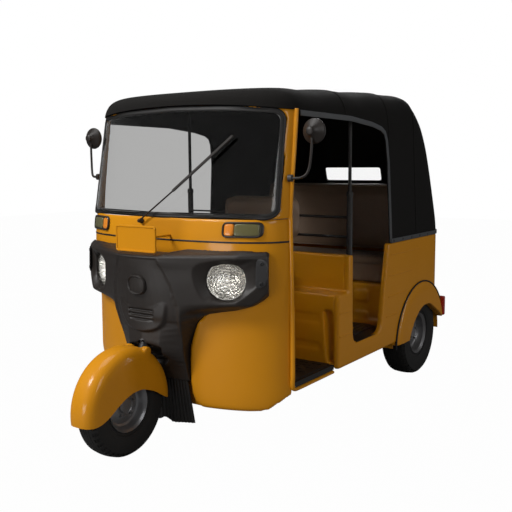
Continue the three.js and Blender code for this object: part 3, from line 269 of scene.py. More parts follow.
# %% Every finish: colour, dust colour, roughness and the rest
LENS = dict(grain=150, bump=0.5, depth=0.0015, Coat_Weight=0.8, Coat_Roughness=0.05)
FINISHES = {
    "yellow_paint": ((0.60, 0.240, 0.004), (0.52, 0.205, 0.005), 0.5, dict(
        amount=0.35, spread=0.08, grain=700, coarse=0.4, bump=0.02, Coat_Weight=0.35,
        Coat_Roughness=0.15, Specular_IOR_Level=0.12)),
    "black_plastic": ((0.016, 0.0125, 0.0105), (0.026, 0.020, 0.017), 0.42, dict(
        amount=0.5, grain=900, bump=0.12, Specular_IOR_Level=0.4)),
    "canvas": ((0.0065, 0.0058, 0.0052), (0.0105, 0.0092, 0.0082), 0.82, dict(
        amount=0.5, scale=2, grain=1200, coarse=3.0, bump=0.35, depth=0.0012,
        Sheen_Weight=0.02, Specular_IOR_Level=0.12)),
    "rubber": ((0.008, 0.0074, 0.007), (0.018, 0.015, 0.013), 0.5, dict(
        amount=0.5, grain=600, bump=0.2, Specular_IOR_Level=0.4)),
    "tyre": ((0.008, 0.0078, 0.0075), (0.018, 0.016, 0.014), 0.68, dict(
        amount=0.45, scale=5, grain=500, bump=0.25, Specular_IOR_Level=0.35)),
    "dark_steel": ((0.014, 0.014, 0.015), (0.04, 0.03, 0.022), 0.42, dict(
        amount=0.4, scale=8, grain=500, bump=0.1, Metallic=0.3)),
    "wheel_silver": ((0.24, 0.24, 0.25), (0.12, 0.11, 0.10), 0.36, dict(
        amount=0.7, scale=9, grain=400, bump=0.12, Metallic=0.7)),
    "engine_metal": ((0.16, 0.16, 0.165), (0.06, 0.05, 0.04), 0.55, dict(
        amount=0.8, scale=7, grain=260, coarse=1.0, bump=0.4, Metallic=0.85)),
    "grey_flange": ((0.07, 0.075, 0.08), (0.05, 0.045, 0.04), 0.45, dict(
        amount=0.5, grain=600, bump=0.1, Metallic=0.3)),
    "leather": ((0.21, 0.135, 0.083), (0.26, 0.17, 0.11), 0.46, dict(
        amount=0.5, scale=4, grain=330, coarse=1.2, bump=0.45, depth=0.0008,
        Sheen_Weight=0.05)),
    "amber_lens": ((0.75, 0.24, 0.02), (0.6, 0.2, 0.02), 0.18, dict(amount=0.2, **LENS)),
    "red_lens": ((0.45, 0.012, 0.01), (0.3, 0.01, 0.01), 0.18, dict(amount=0.2, **LENS)),
    "smoked_lens": ((0.13, 0.12, 0.05), (0.10, 0.09, 0.04), 0.14, dict(amount=0.3, **LENS)),
    "strip_plastic": ((0.032, 0.031, 0.032), (0.045, 0.042, 0.04), 0.38, dict(
        amount=0.4, grain=900, bump=0.1)),
    "screw_black": ((0.004, 0.004, 0.004), (0.01, 0.009, 0.008), 0.35, dict(
        amount=0.3, grain=500, bump=0.1)),
    "lamp_chrome": ((0.62, 0.60, 0.57), (0.42, 0.40, 0.37), 0.10, dict(
        amount=0.4, scale=30, grain=95, bump=0.7, depth=0.004, Metallic=1.0)),
}
MATERIALS = {name: finish(name, color, dust, roughness, **more)
             for name, (color, dust, roughness, more) in FINISHES.items()}
print("finishes", len(MATERIALS))


# %% Glass
def clear_glass(name, color, roughness=0.0, flutes=0):
    """Glass tinted with color; flutes are fine bands across it."""
    material, tree, shader = new_material(name)
    for socket, value in (("Base Color", (*color, 1)), ("Roughness", roughness),
                          ("Transmission Weight", 1), ("IOR", 1.3)):
        shader.inputs[socket].default_value = value
    if flutes:
        place = add_node(tree, "TexCoord")
        turn = add_node(tree, "Mapping", {"Rotation": (0, 0, math.radians(-27))})
        wave = add_node(tree, "TexWave", {"Scale": flutes})
        relief = add_node(tree, "Bump", {"Strength": 0.35, "Distance": 0.002})
        wire(tree, (place.outputs["Object"], turn.inputs["Vector"]),
             (turn.outputs["Vector"], wave.inputs["Vector"]),
             (wave.outputs["Fac"], relief.inputs["Height"]),
             (relief.outputs["Normal"], shader.inputs["Normal"]))
    return material


MATERIALS["screen_glass"] = clear_glass("screen_glass", (0.43, 0.43, 0.425))
MATERIALS["lamp_glass"] = clear_glass("lamp_glass", (0.97, 0.97, 0.95), 0.02, flutes=45)
MATERIALS["clear_sheet"] = clear_glass("clear_sheet", (0.95, 0.95, 0.95))
print("materials", len(MATERIALS))

# %% Every CAD node takes its record slot's finish
for part in frame["record"]["subparts"]:
    node = NODES[part["node"]]
    node.data.materials.clear()
    node.data.materials.append(MATERIALS[part["material_slot"]])
print("CAD nodes", len(NODES))

# %% [markdown]
# ## Helpers for shaping
#
# Most panels start as plan rings, and bridge_loops joins the rings into a skin. A panel that has
# been cut is remeshed and smoothed, so its cut edges come out rolled like pressed steel, and
# only then gets its thickness.


# %% Numbers and curves
def at(x, y, z):
    """A point from millimetres across, behind the front axle and up."""
    return Vector((x / 1000, y / 1000 + STATION, z / 1000))


def lerp(a, b, t):
    return a + (b - a) * t


def curve_value(pairs, s):
    """A smooth value between (position, value) pairs, by Catmull-Rom."""
    if s <= pairs[0][0]:
        return pairs[0][1]
    if s >= pairs[-1][0]:
        return pairs[-1][1]
    i = max(k for k in range(len(pairs) - 1) if pairs[k][0] <= s)
    (x0, v0), (x1, v1) = pairs[i], pairs[i + 1]
    before = pairs[max(i - 1, 0)]
    after = pairs[min(i + 2, len(pairs) - 1)]
    slope_in = (v1 - before[1]) / (x1 - before[0])
    slope_out = (after[1] - v0) / (after[0] - x0)
    if i == 0:
        slope_in = (v1 - v0) / (x1 - x0)
    if i == len(pairs) - 2:
        slope_out = (v1 - v0) / (x1 - x0)
    h = x1 - x0
    t = (s - x0) / h
    return ((2 * t**3 - 3 * t**2 + 1) * v0 + (t**3 - 2 * t**2 + t) * h * slope_in
            + (3 * t**2 - 2 * t**3) * v1 + (t**3 - t**2) * h * slope_out)


def values_at(table, s):
    """The value of each of a table's curves at s."""
    return {key: curve_value(pairs, s) for key, pairs in table.items()}


def both_sides(points):
    """2-D points, and then their mirror images in the opposite order."""
    return points + [(-x, y) for x, y in reversed(points)]


# %% Skins
def add_chain(bm, points, closed=True):
    """Vertices and edges along points; returns the edges."""
    verts = [bm.verts.new(p) for p in points]
    pairs = list(zip(verts, verts[1:]))
    if closed:
        pairs.append((verts[-1], verts[0]))
    return [bm.edges.new(pair) for pair in pairs]


def bridge(bm, chains, around=False, capped=True):
    """Skins a bmesh through chains of edges, around to the first one or with end caps."""
    for low, high in zip(chains, chains[1:]):
        bmesh.ops.bridge_loops(bm, edges=low + high)
    if around:
        bmesh.ops.bridge_loops(bm, edges=chains[-1] + chains[0])
    elif capped:
        bmesh.ops.contextual_create(bm, geom=chains[0])
        bmesh.ops.contextual_create(bm, geom=chains[-1])
    bmesh.ops.recalc_face_normals(bm, faces=bm.faces)
    return bm


def skin_rings(rings, closed=True):
    """A bmesh skinned through rings of points."""
    bm = bmesh.new()
    return bridge(bm, [add_chain(bm, ring, closed) for ring in rings], capped=closed)


def extruded(outline, axis, low, high):
    """A solid from an outline of 2-D millimetre points, pushed along x, y or z."""
    place = {"x": lambda a, b, s: at(s, a, b), "y": lambda a, b, s: at(a, s, b),
             "z": lambda a, b, s: at(a, b, s)}[axis]
    return skin_rings([[place(a, b, s) for a, b in outline] for s in (low, high)])


# %% Objects and their meshes
def to_object(bm, name):
    mesh = bpy.data.meshes.new(name)
    bm.to_mesh(mesh)
    bm.free()
    obj = bpy.data.objects.new(name, mesh)
    bpy.context.scene.collection.objects.link(obj)
    return obj


def on_mesh(obj, work):
    """Opens an object's mesh as a bmesh, calls work(bm) and writes it back."""
    bm = bmesh.new()
    bm.from_mesh(obj.data)
    work(bm)
    bm.to_mesh(obj.data)
    bm.free()


def drop_faces(obj, test):
    """Deletes the faces that test(face) picks."""
    on_mesh(obj, lambda bm: bmesh.ops.delete(
        bm, geom=[face for face in bm.faces if test(face)], context="FACES"))


def bisect(obj, point, normal):
    """Cuts a mesh by a plane and throws away what lies on the normal's side."""
    on_mesh(obj, lambda bm: bmesh.ops.bisect_plane(
        bm, geom=bm.verts[:] + bm.edges[:] + bm.faces[:], dist=1e-5, plane_co=point,
        plane_no=normal, clear_outer=True))


# %% Modifiers, each applied at once
def apply_modifiers(obj):
    graph = bpy.context.evaluated_depsgraph_get()
    graph.update()
    mesh = bpy.data.meshes.new_from_object(obj.evaluated_get(graph))
    obj.modifiers.clear()
    old = obj.data
    obj.data = mesh
    bpy.data.meshes.remove(old)


def cut(obj, cutter_bm, operation="DIFFERENCE"):
    """Cuts a solid with another. The cutter's own faces come out as material 1."""
    while len(obj.data.materials) < 2:
        obj.data.materials.append(None)
    cutter = to_object(cutter_bm, "cutter")
    cutter.data.materials.append(None)
    cutter.data.materials.append(None)
    for face in cutter.data.polygons:
        face.material_index = 1
    step = obj.modifiers.new("cut", "BOOLEAN")
    step.operation = operation
    step.solver = "EXACT"
    step.material_mode = "INDEX"
    step.object = cutter
    apply_modifiers(obj)
    mesh = cutter.data
    bpy.data.objects.remove(cutter)
    bpy.data.meshes.remove(mesh)


def thicken(obj, thickness, even=True):
    """Gives an open skin a wall on its inner side."""
    step = obj.modifiers.new("wall", "SOLIDIFY")
    step.thickness = thickness
    step.offset = -1
    step.use_even_offset = even
    apply_modifiers(obj)


# %% Soft edges
def remesh(obj, voxel):
    step = obj.modifiers.new("remesh", "REMESH")
    step.mode = "VOXEL"
    step.voxel_size = voxel
    apply_modifiers(obj)


def smooth(obj, rounds):
    def work(bm):
        for _ in range(rounds):
            bmesh.ops.smooth_vert(bm, verts=bm.verts, factor=0.5, use_axis_x=True,
                                  use_axis_y=True, use_axis_z=True)
    on_mesh(obj, work)


def thin_out(obj, keep):
    """Keeps only a share of the triangles."""
    if keep < 1:
        step = obj.modifiers.new("thin", "DECIMATE")
        step.ratio = keep
        apply_modifiers(obj)


def soften(obj, voxel, rounds, keep=1.0):
    """Remeshes a solid and smooths it, so that cut edges come out rounded."""
    remesh(obj, voxel)
    smooth(obj, rounds)
    thin_out(obj, keep)


# %% Finished pieces
def piece(shape, name, body, slot, *nodes, angle=35, look=None):
    """Names, finishes and seats a new piece, and hides the nodes that it stands for."""
    obj = shape if isinstance(shape, bpy.types.Object) else to_object(shape, name)
    obj.name = name
    obj.data.name = name
    obj.data.materials.clear()
    obj.data.materials.append(MATERIALS[look or slot])
    obj.data.polygons.foreach_set("material_index", [0] * len(obj.data.polygons))
    obj.data.shade_smooth()
    if angle < 180:
        obj.data.set_sharp_from_angle(angle=math.radians(angle))
    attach(obj, body)
    if nodes:
        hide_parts(*nodes)
    print("piece", name, len(obj.data.polygons), "faces")


# %% [markdown]
# ## Front cowl
#
# The real cowl is one deep pressing whose edges roll inwards round the wheel's recess. Its
# sections are superellipses, flat at the nose and tight at the cheeks. Its edges could be
# bevelled one by one, but bevels collide where the recess meets the curved nose. So the solid is
# cut first and remeshed, the rolled edges come by themselves, and then it is opened at the back.

# %% Cowl sections
COWL_CENTRE = 575
COWL_TRAIL = 500
COWL = {
    "half": [(172, 572), (181, 598), (205, 608), (300, 612), (560, 611), (680, 608),
             (774, 606), (880, 604), (956, 602), (1066, 600)],
    "depth": [(172, 268), (181, 292), (205, 301), (300, 303), (560, 303), (956, 303),
              (1066, 288)],
    "power": [(172, 2.2), (205, 2.15), (560, 2.15), (680, 2.35), (774, 2.5), (880, 2.73),
              (1066, 2.7)],
}
print("cowl from", COWL["half"][0][0], "to", COWL["half"][-1][0], "mm up")


def cowl_values(z):
    return {**values_at(COWL, z), "centre": COWL_CENTRE, "trail": COWL_TRAIL}


def rounded_cos(angle, power):
    """The cosine of a superellipse."""
    return math.copysign(abs(math.cos(angle)) ** (2 / power), math.cos(angle))


def nose_ring(v, z, grow=0.0, reach=40, steps=88):
    """A plan section: a superellipse nose up to trail, then straight sides."""
    half, depth, power = v["half"] + grow, v["depth"] + grow, v["power"]
    start = math.asin(((v["centre"] - v["trail"]) / depth) ** (power / 2))
    ring = []
    for i in range(steps + 1):
        angle = lerp(start, math.pi - start, i / steps)
        ring.append(at(-half * rounded_cos(angle, power),
                       v["centre"] - depth * math.sin(angle) ** (2 / power), z))
    side = abs(ring[0].x) * 1000
    return ring + [at(side, v["trail"] + reach, z), at(-side, v["trail"] + reach, z)]


def cowl_ring(z, grow=0.0, reach=40):
    return nose_ring(cowl_values(z), z, grow, reach)


RECESS = [(262, 150), (220, 179), (196, 204), (176, 242), (170, 300), (165, 409), (169, 465),
          (188, 523), (211, 580), (232, 604), (250, 618), (250, 640)]
HEEL = [(388, 160), (396, 172), (430, 195), (469, 232), (500, 248), (620, 248), (620, 120),
        (388, 120)]

# %% Lamp places
LAMP = {"x": 392, "y": 273, "z": 794, "radius": 89, "toe_out": math.radians(27)}
LAMP_HOLE = 0.099
lamp_axis = {s: Vector((s * math.sin(LAMP["toe_out"]), -math.cos(LAMP["toe_out"]), 0))
             for s in (1, -1)}
lamp_centre = {s: at(s * LAMP["x"], LAMP["y"], LAMP["z"]) for s in (1, -1)}


def near_lamp(point, radius):
    s = 1 if point.x > 0 else -1
    away = point - lamp_centre[s]
    return (away - away.dot(lamp_axis[s]) * lamp_axis[s]).length < radius


print("headlamps", 2 * LAMP["x"], "mm apart")

# %% Cowl
levels = [172, 176, 181, 188, 196, 205, *range(225, 1070, 21), 1066]
cowl = to_object(skin_rings([cowl_ring(z) for z in levels]), "cowl")
recess = both_sides(RECESS)
cut(cowl, extruded(recess, "y", -100, 322))
cut(cowl, extruded(HEEL, "x", -700, 700))
soften(cowl, 0.0075, 5, keep=0.6)
bisect(cowl, at(0, COWL_TRAIL - 1, 0), (0, 1, 0))
bisect(cowl, at(0, 0, 1064), (0, 0, 1))
drop_faces(cowl, lambda f: near_lamp(f.calc_center_median(), LAMP_HOLE))
thicken(cowl, 0.006)
piece(cowl, "front_cowl_skin", "body", "yellow_paint", "front_cowl", angle=50)

# %% [markdown]
# ## Lamp fairing
#
# The black fairing is a moulded mask over the nose: a flat middle between two ridges, a dish
# round each headlamp and a neck that goes down between the cheeks. A subdivided cage would be as
# soft, but the louvres and the lamp bores are clean cuts. So it is skinned through rings that
# change with height, cut to its outline, and softened like a moulding.

# %% Fairing and neck sections
NECK_TOP = 600
FAIRING = {
    "middle": [(600, 139), (636, 131), (690, 122), (774, 113), (897, 111), (908, 140),
               (920, 225), (934, 262)],
    "ridge_x": [(600, 197), (636, 203), (690, 201), (774, 179), (840, 153), (897, 126),
                (934, 126)],
    "ridge_y": [(600, 185), (636, 179), (690, 171), (774, 152), (840, 136), (897, 117),
                (908, 143), (920, 227), (934, 264)],
    "waist_x": [(600, 222), (636, 240), (655, 300), (676, 430), (690, 450), (934, 450)],
    "waist_y": [(600, 268), (655, 256), (676, 280), (690, 272), (897, 272), (934, 330)],
    "end_x": [(600, 552), (655, 556), (690, 560), (897, 560), (920, 556), (934, 545)],
    "end_y": [(600, 408), (655, 392), (690, 366), (897, 366), (920, 385), (934, 405)],
}
NECK = {
    "middle": [(300, 268), (360, 240), (420, 170), (454, 140), (510, 132), (600, 139),
               (639, 131)],
    "ridge_x": [(300, 168), (360, 173), (454, 181), (510, 186), (600, 197), (639, 203)],
    "ridge_y": [(300, 277), (360, 256), (420, 234), (454, 224), (510, 207), (600, 185),
                (639, 179)],
}
print("curves of the fairing and the neck", len(FAIRING), len(NECK))


def mirrored_ring(half_points, z):
    """A closed plan ring from its right half, which starts at the middle of the nose."""
    left = [(-x, y) for x, y in reversed(half_points[1:])]
    return [at(x, y, z) for x, y in left + half_points]


def fairing_ring(z):
    v = values_at(FAIRING, z)
    half_points = [(0, v["middle"])]
    for k in range(1, 6):
        t = k / 5
        half_points.append((v["ridge_x"] * t, lerp(v["middle"], v["ridge_y"], t * t)))
    half_points += [(v["waist_x"], v["waist_y"]), (v["end_x"], v["end_y"]),
                    (v["end_x"] - 60, 470)]
    return mirrored_ring(half_points, z)


def neck_ring(z):
    v = values_at(NECK, z)
    side = curve_value([(edge_z, x) for x, edge_z in RECESS[:-1]], z) - 2
    half_points = [(0, v["middle"]),
                   (v["ridge_x"] * 0.5, lerp(v["middle"], v["ridge_y"], 0.25)),
                   (v["ridge_x"], v["ridge_y"]), (side, 284), (side, 300), (side, 321)]
    return mirrored_ring(half_points, z)


# %% Fairing body
FAIRING_EDGE = [
    (112, 905), (130, 916), (180, 926), (510, 931), (540, 926), (556, 905), (561, 870),
    (561, 762), (551, 735), (526, 705), (492, 680), (422, 657), (346, 643), (285, 631),
    (250, 616), (214, 590),
]
levels = [*range(600, 690, 8), *range(690, 897, 16), 897, 902, 908, 914, 920, 927, 934]
fairing = to_object(skin_rings([fairing_ring(z) for z in levels]), "fairing")
cut(fairing, extruded(both_sides(FAIRING_EDGE), "y", -100, 460), "INTERSECT")
levels = [*range(300, 421, 20), 437, 454, 475, *range(500, 601, 25), 620, 639]
cut(fairing, skin_rings([neck_ring(z) for z in levels]), "UNION")
print("fairing body", len(fairing.data.polygons), "faces")


# %% Points on the fairing, and forms raised from it
def fairing_point(x, z, out=0.0):
    """A point on the fairing's face, or on the neck's below it."""
    v = values_at(FAIRING if z >= NECK_TOP else NECK, z)
    across = abs(x)
    if across <= v["ridge_x"]:
        y = lerp(v["middle"], v["ridge_y"], (across / v["ridge_x"]) ** 2)
    elif z < NECK_TOP or across <= v["waist_x"]:
        share = (across - v["ridge_x"]) / (v.get("waist_x", v["ridge_x"] + 40) - v["ridge_x"])
        y = lerp(v["ridge_y"], v.get("waist_y", 284), min(1, share))
    else:
        share = (across - v["waist_x"]) / (v["end_x"] - v["waist_x"])
        y = lerp(v["waist_y"], v["end_y"], min(1, share))
    return at(x, y - out, z)


def patch(outline, surface, steps):
    """A low raised form on a surface: the outline shrinks as it rises through (share, out)."""
    cx = sum(x for x, _ in outline) / len(outline)
    cz = sum(z for _, z in outline) / len(outline)
    return skin_rings([[surface(lerp(cx, x, share), lerp(cz, z, share), out)
                        for x, z in outline] for share, out in steps])


def swelling_point(x, z, out):
    """The lower panel's face, which fades into the fairing towards its top."""
    return fairing_point(x, z, out * min(1, max(0, (700 - z) / 80)) if out > 0 else out)


# %% Outlines with rounded corners
def rounded_outline(points, radius, steps=6):
    """Rounds each corner of a 2-D outline with a quadratic curve."""
    outline = []
    count = len(points)
    for i, (x, y) in enumerate(points):
        corner = Vector((x, y))
        before = Vector(points[i - 1]) - corner
        after = Vector(points[(i + 1) % count]) - corner
        reach = min(radius, before.length / 2, after.length / 2)
        start = corner + before.normalized() * reach
        end = corner + after.normalized() * reach
        for k in range(steps + 1):
            t = k / steps
            outline.append(tuple((1 - t) ** 2 * start + 2 * t * (1 - t) * corner + t * t * end))
    return outline


def rectangle(a0, a1, b0, b1):
    return [(a0, b0), (a1, b0), (a1, b1), (a0, b1)]


def oblong(a0, a1, b0, b1, radius, steps=6):
    """A rectangle with rounded corners."""
    return rounded_outline(rectangle(a0, a1, b0, b1), radius, steps)


# %% Lower panel and louvres
SHIELD = [(0, 546)] + both_sides([(45, 549), (88, 560), (118, 582), (134, 612), (143, 650),
                                  (147, 690)])
cut(fairing, patch(rounded_outline(SHIELD, 30, steps=3), swelling_point, [
    (1.03, -14), (1.02, -5), (1.005, 0), (0.985, 5), (0.96, 9), (0.93, 11.2), (0.89, 12),
    (0.6, 12), (0.3, 12)]), "UNION")
for z in (604, 625, 646):
    cut(fairing, extruded(oblong(-74, 78, z - 6, z + 6, 5.4), "y", 60, 139))
print("fairing with louvres", len(fairing.data.polygons), "faces")


# %% Room for the cowl behind the fairing
def taken(obj):
    """The mesh of a scratch object as a bmesh. The object is removed."""
    bm = bmesh.new()
    bm.from_mesh(obj.data)
    bpy.data.objects.remove(obj)
    return bm


inner = to_object(skin_rings([cowl_ring(z, grow=1.2, reach=60) for z in range(172, 1070, 24)]),
                  "inner")
cut(inner, extruded([(x - 1, z) if x > 0 else (x + 1, z) for x, z in recess], "y", -100, 324))
cut(fairing, taken(inner))
print("fairing round the cowl", len(fairing.data.polygons), "faces")

# %% Dishes round the lamps
DISH_RIM = rounded_outline([
    (163, 71), (150, 99), (25, 99), (-80, 89), (-125, 79), (-155, 60), (-158, 30), (-150, -23),
    (-133, -75), (-113, -100), (-37, -101), (45, -92), (82, -71), (127, -35), (160, -3),
], 30, steps=3)
BROW_SHARE = 0.8
print("dish rim", len(DISH_RIM), "points")


def lamp_point(across, rise, ahead, side):
    c, s = math.cos(LAMP["toe_out"]), math.sin(LAMP["toe_out"])
    return at(side * (LAMP["x"] + across * c + ahead * s),
              LAMP["y"] + across * s - ahead * c, LAMP["z"] + rise)


def dish(side):
    """The hollow round a headlamp, from the lens's edge out to the rim on the face."""
    lens = []
    for across, rise in DISH_RIM:
        scale = (LAMP["radius"] + 0.5) / math.hypot(across, rise)
        lens.append((across * scale, rise * scale * (BROW_SHARE if rise > 0 else 1)))
    ahead = [min(25, max(0.5, 25 * (163 - across) / 98)) for across, _ in DISH_RIM]
    return skin_rings([
        [lamp_point(a, r, -2, side) for a, r in lens],
        [lamp_point(a, r, h, side) for (a, r), h in zip(DISH_RIM, ahead)],
        [lamp_point(a, r, h + 60, side) for (a, r), h in zip(DISH_RIM, ahead)],
    ])


# %% Round solids
def stand(bm, place, axis):
    """Moves a bmesh from the origin to place, and turns its z to axis."""
    turn = axis.to_track_quat("Z", "Y").to_matrix().to_4x4()
    bmesh.ops.transform(bm, matrix=Matrix.Translation(place) @ turn, verts=bm.verts)
    return bm


def barrel(start, end, radius, end_radius=None, sides=48):
    """A cylinder or cone between two points."""
    axis = end - start
    bm = bmesh.new()
    bmesh.ops.create_cone(bm, cap_ends=True, segments=sides, radius1=radius,
                          radius2=radius if end_radius is None else end_radius,
                          depth=axis.length)
    return stand(bm, (start + end) / 2, axis)


def turned(profile, foot, axis, steps=72):
    """A solid of revolution from (radius, height) pairs in millimetres along an axis."""
    bm = bmesh.new()
    add_chain(bm, [Vector((r / 1000, 0, h / 1000)) for r, h in profile], closed=False)
    bmesh.ops.spin(bm, geom=bm.verts[:] + bm.edges[:], cent=(0, 0, 0), axis=(0, 0, 1),
                   angle=2 * math.pi, steps=steps, use_merge=True)
    bmesh.ops.remove_doubles(bm, verts=bm.verts, dist=1e-6)
    bmesh.ops.recalc_face_normals(bm, faces=bm.faces)
    return stand(bm, foot, axis)


# %% Lamp bores and steering room
STEER_RAKE = math.radians(28)
STEER_FOOT = at(0, 30, 233)
STEER_AXIS = Vector((0, math.sin(STEER_RAKE), math.cos(STEER_RAKE)))
STEER_ROOM = [
    (0, 40), (226, 40), (226, 112), (214, 132), (197, 152), (184, 166), (160, 192), (136, 214),
    (128, 222), (128, 247), (98, 251), (98, 276), (35, 279), (0, 279),
]
for side in (1, -1):
    cut(fairing, dish(side))
    start = lamp_centre[side] - lamp_axis[side] * 0.14
    cut(fairing, barrel(start, lamp_centre[side] + lamp_axis[side] * 0.0005, 0.0894))
cut(fairing, turned(STEER_ROOM, STEER_FOOT, STEER_AXIS))
cut(fairing, barrel(STEER_FOOT + STEER_AXIS * 0.2, STEER_FOOT + STEER_AXIS * 0.6, 0.034))
soften(fairing, 0.0038, 5, keep=0.5)
print("softened fairing", len(fairing.data.polygons), "faces")

# %% The flat middle sinks between the ridges
SUNK_LOW, SUNK_HIGH, SUNK_DEPTH = 455, 893, 0.0065
fairing.data.update()
normals = [v.normal.copy() for v in fairing.data.vertices]
for vertex, normal in zip(fairing.data.vertices, normals):
    x, z = abs(vertex.co.x) * 1000, vertex.co.z * 1000
    if normal.y < -0.25 and SUNK_LOW < z < SUNK_HIGH:
        inside = min(1, max(0, (curve_value(FAIRING["ridge_x"], z) - 4 - x) / 16))
        fade = min(1, (z - SUNK_LOW) / 60, (SUNK_HIGH - z) / 6)
        vertex.co.y += SUNK_DEPTH * inside * inside * (3 - 2 * inside) * fade
print("the middle sinks", SUNK_DEPTH * 1000, "mm")


# %% Keep the largest body
def keep_largest(obj):
    """Deletes every island of a mesh but the largest."""
    def work(bm):
        todo = set(bm.verts)
        groups = []
        while todo:
            stack = [todo.pop()]
            group = set(stack)
            while stack:
                for e in stack.pop().link_edges:
                    for v in todo.intersection(e.verts):
                        todo.discard(v)
                        group.add(v)
                        stack.append(v)
            groups.append(group)
        groups.sort(key=len)
        bmesh.ops.delete(bm, geom=[v for group in groups[:-1] for v in group], context="VERTS")
        print(obj.name, "had", len(groups), "islands")
    on_mesh(obj, work)


keep_largest(fairing)
piece(fairing, "fairing_moulding", "body", "black_plastic", "front_fairing", angle=60)

# %% [markdown]
# ## Headlamps
#
# Each lamp is a sealed round unit: a chromed bowl, a bulb and its cap, and a clear fluted lens
# behind a thin black rim. All of it is round, so each profile is turned on the lamp's own axis.


# %% Headlamp profiles
def lens_height(r):
    """The lens's outer face is flat in the middle and falls off towards the rim."""
    return -17 * (r / 88) ** 2.3


def bowl_height(r):
    """A parabola, as in a real reflector."""
    return 50 * (r / 87) ** 2


LENS_FACE = [88 * k / 12 for k in range(1, 13)]
LENS_BACK = [85 * k / 12 for k in range(11, 0, -1)]
BOWL_FACE = [lerp(14, 87, k / 12) for k in range(1, 13)]
BOWL_BACK = [lerp(14, 86, k / 12) for k in range(12, 0, -1)]
LENS_PROFILE = [(0, 0), *((r, lens_height(r)) for r in LENS_FACE), (88, -21), (85, -21),
                *((r, lens_height(r) - 3) for r in LENS_BACK), (0, -3)]
BOWL_PROFILE = [(14, -72), *((r, bowl_height(r) - 72) for r in BOWL_FACE), (88.6, -22),
                (88.6, -26), *((r + 1, bowl_height(r) - 76) for r in BOWL_BACK), (0, -76),
                (0, -72)]
BULB_PROFILE = [(0, -34), (9, -36), (12, -42), (12, -52), (7, -62), (7, -71), (0, -71)]
print("headlamp profiles", len(LENS_PROFILE), len(BOWL_PROFILE), "points")

# %% Headlamp pieces
for side, word in SIDES:
    foot, axis = lamp_centre[side], lamp_axis[side]
    piece(turned(LENS_PROFILE, foot, axis, 64), f"headlamp_lens_{word}", "body", "lamp_glass",
          f"headlamp_{word}", angle=50)
    piece(turned(BOWL_PROFILE, foot, axis, 64), f"headlamp_bowl_{word}", "body", "lamp_glass",
          angle=50, look="lamp_chrome")
    piece(turned(BULB_PROFILE, foot, axis, 32), f"headlamp_bulb_{word}", "body", "lamp_glass",
          look="lamp_chrome")

# %% [markdown]
# ## Paths and swept sections
#
# Beads, seals, bindings and rails are one section pushed along a smooth path. A curve object with
# a bevel could do it too. A sweep of our own lets each point have its own upward direction, so
# that a flat seal lies flat on a curved panel. The section is in millimetres, across and up.


# %% Sweep helpers
def smooth_path(points, steps=6):
    """Points along a Catmull-Rom curve through the given ones."""
    path = []
    for i in range(len(points) - 1):
        p0, p1, p2 = points[max(i - 1, 0)], points[i], points[i + 1]
        p3 = points[min(i + 2, len(points) - 1)]
        for k in range(steps):
            t = k / steps
            path.append(0.5 * (2 * p1 + (p2 - p0) * t + (2 * p0 - 5 * p1 + 4 * p2 - p3) * t**2
                               + (3 * p1 - p0 - 3 * p2 + p3) * t**3))
    return path + [points[-1].copy()]


def ellipse(width, height, sides=12):
    turns = [2 * math.pi * k / sides for k in range(sides)]
    return [(width * math.cos(a), height * math.sin(a)) for a in turns]


def circle(radius, sides=12):
    return ellipse(radius, radius, sides)


def swept(path, section, closed=False, up=UP):
    """Skins a section along a path. up is one direction, or one for each point."""
    bm = bmesh.new()
    chains = []
    count = len(path)
    for i, p in enumerate(path):
        before = path[i - 1] if closed or i > 0 else p
        after = path[(i + 1) % count] if closed or i + 1 < count else p
        ahead = (after - before).normalized()
        side = ahead.cross(up[i] if isinstance(up, list) else up).normalized()
        top = side.cross(ahead)
        chains.append(add_chain(bm, [p + side * a / 1000 + top * b / 1000 for a, b in section]))
    return bridge(bm, chains, around=closed)

# %% [markdown]
# ## Windscreen
#
# The screen panel is curved in plan like the cowl and leans back. The frame is one pressing
# with a rolled edge round the opening, and a rubber seal grips both the frame and the glass.
# All three are made from one surface function and one outline, so they stay nested.

# %% Windscreen surface
NOSE_POWER = 2.73
SCREEN = {
    "half": [(1066, 598), (1250, 599), (1430, 598), (1600, 594)],
    "depth": [(1066, 257), (1250, 250), (1430, 243), (1600, 236)],
    "centre": [(1066, 545), (1250, 578), (1430, 609), (1600, 638)],
    "trail": [(1066, 500), (1250, 519), (1430, 544), (1600, 568)],
}
print("the screen leans back", SCREEN["centre"][-1][1] - SCREEN["centre"][0][1], "mm")


def screen_values(z):
    return {**values_at(SCREEN, z), "power": NOSE_POWER}


def screen_ring(z, grow=0.0, reach=40):
    return nose_ring(screen_values(z), z, grow, reach)


def nose_point(v, x, z, out):
    """A point of a nose section, pushed out of its surface."""
    share = min(1, abs(x) / (v["half"] + out)) ** v["power"]
    return at(x, v["centre"] - (v["depth"] + out) * (1 - share) ** (1 / v["power"]), z)


def screen_point(x, z, out=0.0):
    return nose_point(screen_values(z), x, z, out)


def normal_of(surface, x, z, rise):
    """A surface's outward normal, from points 2 mm to each side and rise above and below."""
    across = surface(x + 2, z) - surface(x - 2, z)
    upward = surface(x, z + rise) - surface(x, z - rise)
    return across.cross(upward).normalized()


# %% Windscreen outlines
def screen_outline(grow):
    """The visible glass's outline, made wider by grow."""
    return rounded_outline([
        (-556 - grow, 1088 - grow), (0, 1088 - grow), (556 + grow, 1088 - grow),
        (543 + grow, 1533 + grow), (300, 1552 + grow), (0, 1560 + grow), (-300, 1552 + grow),
        (-543 - grow, 1533 + grow),
    ], 45, steps=8)


def header_line(lift):
    """The arched line between the windscreen panel and the hood."""
    return [(x, 1585 - 34 * (x / 600) ** 2 + lift) for x in range(-700, 701, 50)]


